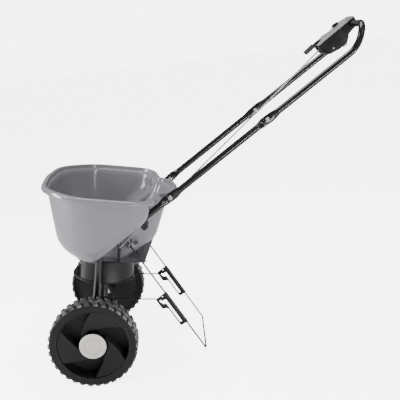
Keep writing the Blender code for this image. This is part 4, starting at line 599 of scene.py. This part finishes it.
def lug_row(bm, sign, count, near, far, slant, phase):
    """One row of slanted tread lugs: one is shaped, and the rest are turned copies."""
    part = bmesh.new()
    bmesh.ops.create_cube(part, size=1.0)
    for vert in part.verts:
        top = vert.co.z > 0
        x = near if vert.co.x < 0 else far
        wide = 6.1 * MM if top else 7.1 * MM
        lean = slant * (x - (near + far) / 2) / abs(far - near)
        x += (0.0 if top else 0.6 * MM) * (-1 if vert.co.x < 0 else 1)
        side = wide if vert.co.y > 0 else -wide
        vert.co = (sign * x, side + lean, LUG_TOP if top else TREAD - 1.5 * MM)
    bmesh.ops.recalc_face_normals(part, faces=part.faces)
    upper = [edge for edge in part.edges if max(v.co.z for v in edge.verts) > LUG_TOP - MM]
    bevel(part, upper, 0.9 * MM, 2)
    start = Matrix.Rotation(math.pi + LEAN + phase * math.tau / count, 4, "X")
    bmesh.ops.transform(part, matrix=start, verts=part.verts)
    bmesh.ops.spin(part, geom=part.verts[:] + part.edges[:] + part.faces[:], cent=(0, 0, 0), axis=(1, 0, 0),
                   angle=math.tau * (count - 1) / count, steps=count - 1, use_duplicate=True)
    merge(bm, part)


def build_wheels(sizes):
    count = sizes.lugs
    for side, sign in SIDES:
        bm = bmesh.new()
        tyre = [(121, 198), (121, 247), (120.6, 248.8), (119.4, 250.2), (117.6, 250.9), (113.5, 251),
                (105, 250.4), (102.4, 250.6), (101.2, 251), (99.9, 250.6), (99.3, 249.4),
                (98.7, 245), (98.2, 232),
                (97.4, 207.6), (96.4, 206.6), (94.5, 206.2), (60, 205.6), (31, 206.2),
                (28.6, 206.8), (27, 208.5),
                (27, 240.4), (26.4, 241.7), (25.2, 242), (8.3, 242), (6.5, 241.4), (6.3, 240), (6.3, 151),
                (6.9, 150), (17.5, 150), (18.8, 150.8), (19.2, 152), (24.5, 198), (27, 201.4), (30, 202.2),
                (60, 201.6), (94, 202), (96.5, 203), (98.5, 205), (113.5, 204), (114.2, 200), (114.5, 195.5),
                (115.4, 194.3), (116.8, 194), (119.2, 194.4), (120.6, 196)]
        tyre = [(radius * MM, sign * x * MM) for radius, x in tyre]
        spun(bm, tyre, 102)
        for index in range(3):
            swirl_blade(bm, sign, index)
        piece(f"wheel_{side}_moulding", bm, (f"wheel_{side}",), angle=32)
        bm = bmesh.new()
        lug_row(bm, sign, count, 223.5 * MM, 249.3 * MM, sizes.slant, 0.0)
        lug_row(bm, sign, count, 195.6 * MM, 221.5 * MM, sizes.slant, 0.5)
        web = [(TREAD - 1 * MM, 219), (LUG_TOP - 1.0 * MM, 219.8), (LUG_TOP - 1.0 * MM, 225.2),
               (TREAD - 1 * MM, 226)]
        spun(bm, [(radius, sign * x * MM) for radius, x in web], 102)
        # The lugs take the tread finish, whose lighter tone and pale edges are partly a painted highlight.
        lugs = piece(f"tread_{side}", bm, (f"wheel_{side}",), angle=32, material="tread_wear_and_painted_sheen")
        bm = bmesh.new()
        cap = [(0, 256.9), (15, 256.8), (19, 256.6), (20.4, 256.1), (21.2, 254.2), (23.4, 254.0),
               (24.4, 255.2), (30, 254.8),
               (33.4, 254.1), (35.6, 253.3), (36.9, 252.3), (37.4, 251.2), (37.1, 250.5), (36.2, 250.3),
               (29.8, 250.3), (29.8, 240.3), (27.4, 240.3), (27.4, 249.6), (0, 249.6)]
        spun(bm, [(radius * MM, sign * x * MM) for radius, x in cap], 72, closed=False)
        piece(f"hub_cap_{side}_moulding", bm, (f"hub_cap_{side}",))


# --- hopper, discharge and drive


WALL = 3 * MM
CHANNEL_RADIUS = 11.5 * MM
LEVELS = (190, 192, 194.5, 196, 196.4, 197.2, 199, 202, 206, 211, 217, 224, 232, 241, 251, 262, 275,
          290, 305, 320,
          332, 342, 350, 358, 370, 385, 398, 400, 402.5, 405, 413)
REAR_LINE = rounded([(-30, 194), (125, 346), (125, 420)], [0, 75, 0], closed=False, steps=12)
LOBE_LINE = rounded([(75, 189), (153, 256), (172, 350), (190, 402), (190, 420)], [0, 42, 130, 30, 0],
                    closed=False, steps=12)


def reach_at(line, z):
    """How far back a profile of (y, z) points reaches at a height."""
    for low, high in zip(line, line[1:]):
        if low.y <= z <= high.y:
            return low.x + (high.x - low.x) * (z - low.y) / max(high.y - low.y, 1e-9)
    return line[-1].x


def hopper_level(z):
    """The hopper's outer outline at one height, in millimetres: wide bucket, cheeks and rear lobe."""
    share = (z - 190) / 223
    fillet, base = 72.0, 196.0
    over = min(max(fillet - (z - base), 0.0), fillet)
    drawn = fillet - math.sqrt(fillet ** 2 - over ** 2)
    wide = 182 + 46 * share - drawn
    front = 130 + 46 * share - drawn
    lobe = 62 + 30 * (z - 185) / 228
    if z < base:
        wide = 68 + (wide - 68) * (z - 190) / (base - 190)
    rear, back = reach_at(REAR_LINE, z), reach_at(LOBE_LINE, z)
    flare = min(max((z - 346) / 67, 0.0), 1.0)
    right = [(wide, rear - 9 * flare), (lobe + 7, rear + 15 * flare),
             (lobe, max(back - 32, rear + 16 * flare + 6)),
             (lobe * 0.56, back - 8)]
    left = [(-x, y) for x, y in reversed(right)]
    nose = [(-wide, -front * 0.4), (-wide * 0.66, -front + 12), (0, -front), (wide * 0.66, -front + 12),
            (wide, -front * 0.4)]
    radii = [55, 16, 30, 40, 90, 40, 30, 16, 55, 115, 115, 420, 115, 115]
    return rounded([*right, (0, back), *left, *nose], radii, steps=6)


def offset(outline, distance):
    """A closed outline, listed anticlockwise, moved outwards."""
    moved = []
    for index, here in enumerate(outline):
        run = outline[(index + 1) % len(outline)] - outline[index - 1]
        moved.append(here + Vector((run.y, -run.x)).normalized() * distance)
    return moved


def stacked(bm, outlines, cap=True):
    """A skin through outlines given with their heights."""
    loops = []
    for outline, z in outlines:
        verts = [bm.verts.new((x * MM, y * MM, z * MM)) for x, y in outline]
        loops.append([bm.edges.new(pair) for pair in zip(verts, verts[1:] + verts[:1])])
        if cap and len(loops) in (1, len(outlines)):
            bm.faces.new(verts)
    for low, high in zip(loops, loops[1:]):
        bmesh.ops.bridge_loops(bm, edges=low + high)
    return loops


def shaped(bm, changes):
    """The bmesh after modifiers: cuts and joins with other bmeshes, or a wall thickness."""
    temporary = []

    def holder(source):
        bmesh.ops.recalc_face_normals(source, faces=source.faces)
        mesh = bpy.data.meshes.new("temporary")
        source.to_mesh(mesh)
        source.free()
        obj = bpy.data.objects.new("temporary", mesh)
        bpy.context.scene.collection.objects.link(obj)
        temporary.append(obj)
        return obj
    base = holder(bm)
    for kind, value in changes:
        if kind == "WALL":
            modifier = base.modifiers.new("wall", "SOLIDIFY")
            modifier.thickness, modifier.offset, modifier.use_even_offset = value, -1.0, True
            continue
        modifier = base.modifiers.new("cut", "BOOLEAN")
        modifier.object, modifier.operation, modifier.solver = holder(value), kind, "EXACT"
    bpy.context.view_layer.update()
    mesh = bpy.data.meshes.new_from_object(base.evaluated_get(bpy.context.evaluated_depsgraph_get()))
    result = bmesh.new()
    result.from_mesh(mesh)
    bmesh.ops.remove_doubles(result, verts=result.verts, dist=1e-6)
    for obj in temporary:
        bpy.data.objects.remove(obj, do_unlink=True)
    return result


def tool(build, *args, **options):
    bm = bmesh.new()
    build(bm, *args, **options)
    return bm


def cylinder(bm, centre, axis, radius, low, high, steps=24):
    spun(bm, [(0, low), (radius, low), (radius, high), (0, high)], steps, axis=axis, centre=centre,
         closed=False)


def build_hopper():
    bm = bmesh.new()
    outlines = []
    for z in LEVELS:
        step_out = 3.6 * min(max((z - 399) / 4, 0.0), 1.0)
        outlines.append((offset(hopper_level(z), step_out), z))
    stacked(bm, outlines)
    cuts = []
    for sign in (1, -1):
        for lift in (0.0, 6 * MM, 11 * MM):
            foot, top = Vector((sign * TUBE_X, LEG_Y, 0.05)), on_slope(0.36, x=sign * TUBE_X)
            path = rounded((foot, on_slope(0, x=sign * TUBE_X), top), (0, BEND_RADIUS, 0),
                           closed=False, steps=8)
            path = [point + OFF_SLOPE * lift for point in path]
            cuts.append(("DIFFERENCE", tool(swept, path, even(path, CHANNEL_RADIUS), 24)))
    bm = shaped(bm, cuts)
    lid = [face for face in bm.faces
           if face.calc_center_median().z > 412.9 * MM and abs(face.normal.z) > 0.9]
    bmesh.ops.delete(bm, geom=lid, context="FACES")
    floor_hole = ((0, 0, 1), 6 * MM, 0.18, 0.205)
    holes = [("WALL", WALL), ("DIFFERENCE", tool(cylinder, (0, 0, 0), *floor_hole))]
    for angle in (-150, -90, -30):
        place = polar(30 * MM, angle)
        port = tool(cylinder, (place.x, place.y, 0), (0, 0, 1), 5.5 * MM, 0.18, 0.205)
        holes.append(("DIFFERENCE", port))
    bm = shaped(bm, holes)
    mouth = hopper_level(413)
    lip = [(1.2, 411), (1.0, 413.4), (1.8, 414.6), (3.2, 415), (8.2, 415), (10.6, 414.5), (12.6, 413.0),
           (13.7, 410.8), (14, 408), (13.8, 403.4), (13.3, 401.6), (12.4, 401.0), (11.4, 401.5), (11.1, 403),
           (11.0, 408.0), (9.4, 410.6), (5.2, 411.2)]
    loops = stacked(bm, [(offset(mouth, out), z) for out, z in lip], cap=False)
    bmesh.ops.bridge_loops(bm, edges=loops[-1] + loops[0])
    for sign in (1, -1):
        spun(bm, [(2.8 * MM, sign * 70 * MM), (9.5 * MM, sign * 70 * MM), (8.4 * MM, sign * 101 * MM),
                  (7.6 * MM, sign * 103.6 * MM), (6.6 * MM, sign * 104.2 * MM),
                  (2.8 * MM, sign * 104.2 * MM)], 32,
             centre=STAND_PIVOT)
        for turn in (35, 160, 275):
            block(bm, (68 * MM, -1.3 * MM, 6 * MM), (97 * MM, 1.3 * MM, 21 * MM), 0.5 * MM,
                  turn=Matrix.Translation(STAND_PIVOT) @ Matrix.Scale(sign, 4, (1, 0, 0))
                  @ Matrix.Rotation(math.radians(turn), 4, "X"))
    obj = piece("hopper_shell", bm, ("hopper",), angle=32)
    modifier = obj.modifiers.new("rounded edges", "BEVEL")
    modifier.width = 1.2 * MM
    modifier.segments = 2
    modifier.limit_method = "ANGLE"
    modifier.angle_limit = math.radians(32)


def build_discharge():
    for node in ("shroud", "base_plate", "shutoff_gate"):
        softened(node, 0.5 * MM)
    for index in range(1, 5):
        softened(f"plate_screw_{index}", 0.3 * MM)


def build_drive():
    for node in ("gearbox_upper", "gearbox_lower", "impeller"):
        softened(node, 0.8 * MM)
    for node in ("gearbox_screw_front", "gearbox_screw_rear", "agitator", "axle", "impeller_shaft"):
        softened(node, 0.3 * MM)


# --- stand, struts and clips


def on_stand(along, side, x):
    return STAND_PIVOT + Vector((x, 0, 0)) + STAND_DIR * along + STAND_SIDE * side


def stand_points(pairs):
    return [Vector(on_stand(along * MM, side * MM, 0.0)[1:]) for along, side in pairs]


def build_stand(sizes):
    tip, wire = 83 * MM, sizes.stand_wire / 2
    length = ((MACHINE @ STAND_PIVOT).z - 2.5 * MM) / -(MACHINE.to_3x3() @ STAND_DIR).z
    inset = Vector((tip, *STAND_PIVOT[1:]))
    points = [inset, on_stand(0, 0, STAND_X), on_stand(length, 0, STAND_X), on_stand(length, 0, -STAND_X),
              on_stand(0, 0, -STAND_X), Vector((-tip, *STAND_PIVOT[1:]))]
    bm = bmesh.new()
    round_bar(bm, points, (0, 4 * MM, 7 * MM, 7 * MM, 4 * MM, 0), wire)
    piece("stand_wire_bar", bm, ("stand_wire",), angle=60)
    for side, sign in SIDES:
        bm = bmesh.new()
        notch = on_stand(186 * MM, 25 * MM, sign * STRUT_X)
        pivot = Vector((sign * STRUT_X, *STRUT_PIVOT[1:]))
        outward = Vector((sign, 0, 0))
        points = [pivot + outward * 24.5 * MM, pivot, notch, notch + outward * 4.9 * MM]
        round_bar(bm, points, (0, 4 * MM, 2.8 * MM, 0), 2 * MM)
        piece(f"strut_{side}_bar", bm, (f"strut_{side}",), angle=60)
        softened(f"strut_bracket_{side}", 0.6 * MM)
        softened(f"bracket_screw_{side}", 0.3 * MM)
        build_clip(side, sign)


def build_clip(side, sign):
    """The flat latch on a stand wire: raised border, hooked notch, long slot and a small eye."""
    outline = stand_points([(174, 0), (289, 0), (289, 21), (220, 21), (212, 36), (177, 36)])
    outline = rounded(outline, [r * MM for r in (0, 3, 4, 5, 5, 6)], steps=5)
    notch = stand_points([(279, 10.25), (279, 16.75), (205, 16.75), (202, 24.75), (189, 29.75), (184, 25.75),
                          (192, 21.75), (192, 10.25)])
    notch = rounded(notch, [r * MM for r in (3, 3, 2, 3, 3, 2, 1.5, 2)], steps=5)
    eye_at = stand_points([(180.5, 14)])[0]
    bm = bmesh.new()
    middle = sign * STAND_X
    eye = circle(1.8 * MM, eye_at)
    plate(bm, outline, middle - 1.4 * MM, middle + 1.4 * MM, 0.4 * MM, holes=[notch, eye])
    rim = stand_points([(174.6, 2), (288.4, 2), (288.4, 20.4), (219.4, 20.4), (211.4, 35.4),
                        (177.4, 35.4)])
    rim = rounded(rim, [r * MM for r in (1, 3, 4, 5, 5, 6)], steps=5)
    inner = stand_points([(176.8, 4.4), (286.2, 4.4), (286.2, 18.2), (218, 18.2), (210, 33.2),
                          (179.4, 33.2)])
    inner = rounded(inner, [r * MM for r in (1, 2, 2.4, 4, 3.4, 4)], steps=5)
    plate(bm, rim, middle - 2 * MM, middle + 2 * MM, 0.5 * MM, holes=[inner])
    part = bmesh.new()
    spun(part, [(2.8 * MM, 0.0), (4.2 * MM, 0.0), (4.8 * MM, 0.6 * MM), (4.8 * MM, 114.4 * MM),
                (4.2 * MM, 115 * MM), (2.8 * MM, 115 * MM)], 24, axis=STAND_DIR,
         centre=on_stand(174 * MM, 0, middle))
    merge(bm, part)
    piece(f"stand_clip_{side}_moulding", bm, (f"stand_clip_{side}",))


# --- control rod and console


def build_controls():
    bm = bmesh.new()
    points = [ROD_FOOT - Vector((17 * MM, 0, 0)), ROD_FOOT, ROD_HEAD, ROD_HEAD + Vector((16 * MM, 0, 0))]
    round_bar(bm, points, (0, 4 * MM, 4 * MM, 0), 2.2 * MM)
    piece("control_rod_bar", bm, ("control_rod",), angle=60)
    softened("rod_guide", 1.0 * MM)
    for node in ("control_lever", "rate_dial", "console_clamp"):
        softened(node, 0.8 * MM, 3)
    softened("console_body", 5 * MM, 4, angle=35)
    softened("console_cover", 4 * MM, 4, angle=35)
    softened("lever_grip", 3.5 * MM, 4, angle=35)


# --- studio


LENS_MM, SENSOR_MM = 55.1, 36.0
CAMERA_PLACE = (1.801, -0.049, 0.903)
CAMERA_FORWARD = Vector((-0.968, 0.020, -0.251))
CAMERA_UP = Vector((-0.247, 0.125, 0.961))
FLOOR_HALF_SIZE = 30.0


def area(name, place, aim, size, power, tall=None):
    """A softbox aimed at a point; with tall it is a strip."""
    light = bpy.data.lights.new(name, "AREA")
    light.energy = power
    light.size = size
    if tall:
        light.shape = "RECTANGLE"
        light.size_y = tall
    obj = bpy.data.objects.new(name, light)
    obj.location = place
    obj.rotation_euler = (Vector(aim) - Vector(place)).to_track_quat("-Z", "Y").to_euler()
    bpy.context.scene.collection.objects.link(obj)


def build_stage(studio):
    scene = bpy.context.scene
    bm = bmesh.new()
    bmesh.ops.create_grid(bm, x_segments=1, y_segments=1, size=FLOOR_HALF_SIZE)
    mesh = bpy.data.meshes.new("floor")
    bm.to_mesh(mesh)
    bm.free()
    floor = bpy.data.objects.new("floor", mesh)
    scene.collection.objects.link(floor)
    material = bpy.data.materials.new("pale_floor")
    material.use_nodes = True
    shader = material.node_tree.nodes["Principled BSDF"]
    shader.inputs["Base Color"].default_value = (0.93, 0.93, 0.93, 1)
    shader.inputs["Roughness"].default_value = 0.75
    shader.inputs["Emission Color"].default_value = (1, 1, 1, 1)
    direct = add(material.node_tree, "ShaderNodeLightPath").outputs["Is Camera Ray"]
    glow = math_node(material.node_tree, "MULTIPLY", direct, studio.floor_glow)
    material.node_tree.links.new(glow, shader.inputs["Emission Strength"])
    mesh.materials.append(material)

    world = bpy.data.worlds.new("studio")
    world.use_nodes = True
    tree = world.node_tree
    seen = add(tree, "ShaderNodeLightPath").outputs["Is Camera Ray"]
    strength = math_node(tree, "MULTIPLY_ADD", seen, studio.backdrop - studio.fill, studio.fill)
    tree.links.new(strength, tree.nodes["Background"].inputs["Strength"])
    tree.nodes["Background"].inputs["Color"].default_value = (1, 1, 1, 1)
    scene.world = world

    area("front_softbox", (1.0, -2.6, 1.7), (0, -0.3, 0.4), 0.9, studio.key)
    area("top_softbox", (0.0, -0.1, 2.8), (0, -0.1, 0.3), 1.6, studio.key * 1.6)
    area("side_strip", (2.2, 1.6, 1.6), (0, 0.1, 0.5), 0.16, studio.key * 0.4, 1.8)
    area("front_strip", (0.25, -2.4, 0.8), (0, -0.3, 0.45), 0.14, studio.key * 0.8, 1.5)
    area("low_strip", (1.5, 0.9, 0.12), (0, 0.1, 0.5), 1.6, studio.key * 0.4, 0.05)

    lens = bpy.data.cameras.new("camera")
    lens.lens = LENS_MM
    lens.sensor_width = SENSOR_MM
    lens.clip_start = 0.05
    camera = bpy.data.objects.new("camera", lens)
    forward = CAMERA_FORWARD.normalized()
    right = forward.cross(CAMERA_UP).normalized()
    turn = Matrix((right, right.cross(forward), -forward)).transposed().to_4x4()
    turn.translation = CAMERA_PLACE
    camera.matrix_world = turn
    scene.collection.objects.link(camera)
    scene.camera = camera


# --- add-on


class SpreaderSizes(bpy.types.PropertyGroup):
    lugs: bpy.props.IntProperty(name="Lugs in a row",
                                description="Tread lugs in each of a wheel's two rows",
                                default=34, min=12)
    slant: bpy.props.FloatProperty(name="Lug slant", description="How far a lug shifts from end to end",
                                   default=0.008, unit="LENGTH", subtype="DISTANCE")
    stand_wire: bpy.props.FloatProperty(name="Stand wire",
                                        description="Diameter of the stand's bent wire",
                                        default=0.005, unit="LENGTH", subtype="DISTANCE")


class SpreaderColours(bpy.types.PropertyGroup):
    hopper: bpy.props.FloatVectorProperty(name="Hopper",
                                          description="Main tone of the hopper", subtype="COLOR",
                                          default=(0.20, 0.20, 0.22), size=3, min=0, max=1)
    wheel: bpy.props.FloatVectorProperty(name="Wheels",
                                         description="Main tone of the wheels", subtype="COLOR",
                                         default=(0.005, 0.005, 0.006), size=3, min=0, max=1)
    cap: bpy.props.FloatVectorProperty(name="Hub caps",
                                       description="Main tone of the hub caps", subtype="COLOR",
                                       default=(0.60, 0.58, 0.54), size=3, min=0, max=1)


class SpreaderStudio(bpy.types.PropertyGroup):
    key: bpy.props.FloatProperty(name="Key light",
                                 description="Power of the main softbox", default=46.0,
                                 unit="POWER")
    fill: bpy.props.FloatProperty(name="Fill",
                                  description="Strength of the even light all round", default=0.3)
    backdrop: bpy.props.FloatProperty(name="Backdrop",
                                      description="How bright the backdrop looks", default=6.0)
    floor_glow: bpy.props.FloatProperty(name="Floor glow", description="Light given off by the floor",
                                        default=5.2)


class SPREADER_OT_materials(bpy.types.Operator):
    """Builds every finish and gives it to the CAD pieces"""
    bl_idname = "spreader.materials"
    bl_label = "Materials"

    def execute(self, context):
        build_materials(context.scene.spreader_colours)
        return {"FINISHED"}


class SPREADER_OT_tubes(bpy.types.Operator):
    """Builds the legs, the middle tubes and the handle"""
    bl_idname = "spreader.tubes"
    bl_label = "Tubes and handle"

    def execute(self, context):
        build_tubes()
        return {"FINISHED"}


class SPREADER_OT_joint_screws(bpy.types.Operator):
    """Builds the screws and nuts of the tube joints"""
    bl_idname = "spreader.joint_screws"
    bl_label = "Joint screws"

    def execute(self, context):
        build_joint_screws()
        return {"FINISHED"}


class SPREADER_OT_wheels(bpy.types.Operator):
    """Builds both wheels with their treads and caps"""
    bl_idname = "spreader.wheels"
    bl_label = "Wheels"

    def execute(self, context):
        build_wheels(context.scene.spreader_sizes)
        return {"FINISHED"}


class SPREADER_OT_hopper(bpy.types.Operator):
    """Builds the hopper with its rolled rim and ribs"""
    bl_idname = "spreader.hopper"
    bl_label = "Hopper"

    def execute(self, context):
        build_hopper()
        return {"FINISHED"}


class SPREADER_OT_discharge(bpy.types.Operator):
    """Builds the shroud, plate, gate and their screws"""
    bl_idname = "spreader.discharge"
    bl_label = "Discharge"

    def execute(self, context):
        build_discharge()
        return {"FINISHED"}


class SPREADER_OT_drive(bpy.types.Operator):
    """Builds the gearbox, disc, shaft and axle"""
    bl_idname = "spreader.drive"
    bl_label = "Drive"

    def execute(self, context):
        build_drive()
        return {"FINISHED"}


class SPREADER_OT_stand(bpy.types.Operator):
    """Builds the stand, its struts, brackets and clips"""
    bl_idname = "spreader.stand"
    bl_label = "Stand"

    def execute(self, context):
        build_stand(context.scene.spreader_sizes)
        return {"FINISHED"}


class SPREADER_OT_controls(bpy.types.Operator):
    """Builds the rod, its guide, the console and the lever"""
    bl_idname = "spreader.controls"
    bl_label = "Controls"

    def execute(self, context):
        build_controls()
        return {"FINISHED"}


class SPREADER_OT_stage(bpy.types.Operator):
    """Builds the floor, lights and camera"""
    bl_idname = "spreader.stage"
    bl_label = "Studio"

    def execute(self, context):
        build_stage(context.scene.spreader_studio)
        return {"FINISHED"}


OPERATORS = (SPREADER_OT_materials, SPREADER_OT_tubes, SPREADER_OT_joint_screws,
             SPREADER_OT_wheels, SPREADER_OT_hopper, SPREADER_OT_discharge,
             SPREADER_OT_drive, SPREADER_OT_stand, SPREADER_OT_controls,
             SPREADER_OT_stage)
GROUP_CLASSES = (SpreaderSizes, SpreaderColours, SpreaderStudio)


class SPREADER_PT_panel(bpy.types.Panel):
    """Lists the building steps of the spreader."""
    bl_idname = "SPREADER_PT_panel"
    bl_label = "Garden spreader"
    bl_space_type = "VIEW_3D"
    bl_region_type = "UI"
    bl_category = "Spreader"

    def draw(self, context):
        for settings in ("spreader_sizes", "spreader_colours", "spreader_studio"):
            group_of = getattr(context.scene, settings)
            for key in group_of.bl_rna.properties.keys():
                if key not in ("rna_type", "name"):
                    self.layout.prop(group_of, key)
        for step in OPERATORS:
            self.layout.operator(step.bl_idname)


def register():
    for cls in (*GROUP_CLASSES, *OPERATORS, SPREADER_PT_panel):
        bpy.utils.register_class(cls)
    bpy.types.Scene.spreader_sizes = bpy.props.PointerProperty(type=SpreaderSizes)
    bpy.types.Scene.spreader_colours = bpy.props.PointerProperty(type=SpreaderColours)
    bpy.types.Scene.spreader_studio = bpy.props.PointerProperty(type=SpreaderStudio)


def unregister():
    for settings in ("spreader_studio", "spreader_colours", "spreader_sizes"):
        delattr(bpy.types.Scene, settings)
    for cls in reversed((*GROUP_CLASSES, *OPERATORS, SPREADER_PT_panel)):
        bpy.utils.unregister_class(cls)


def main():
    register()
    for step in OPERATORS:
        getattr(bpy.ops.spreader, step.bl_idname.split(".")[1])()


if __name__ == "__main__":
    main()
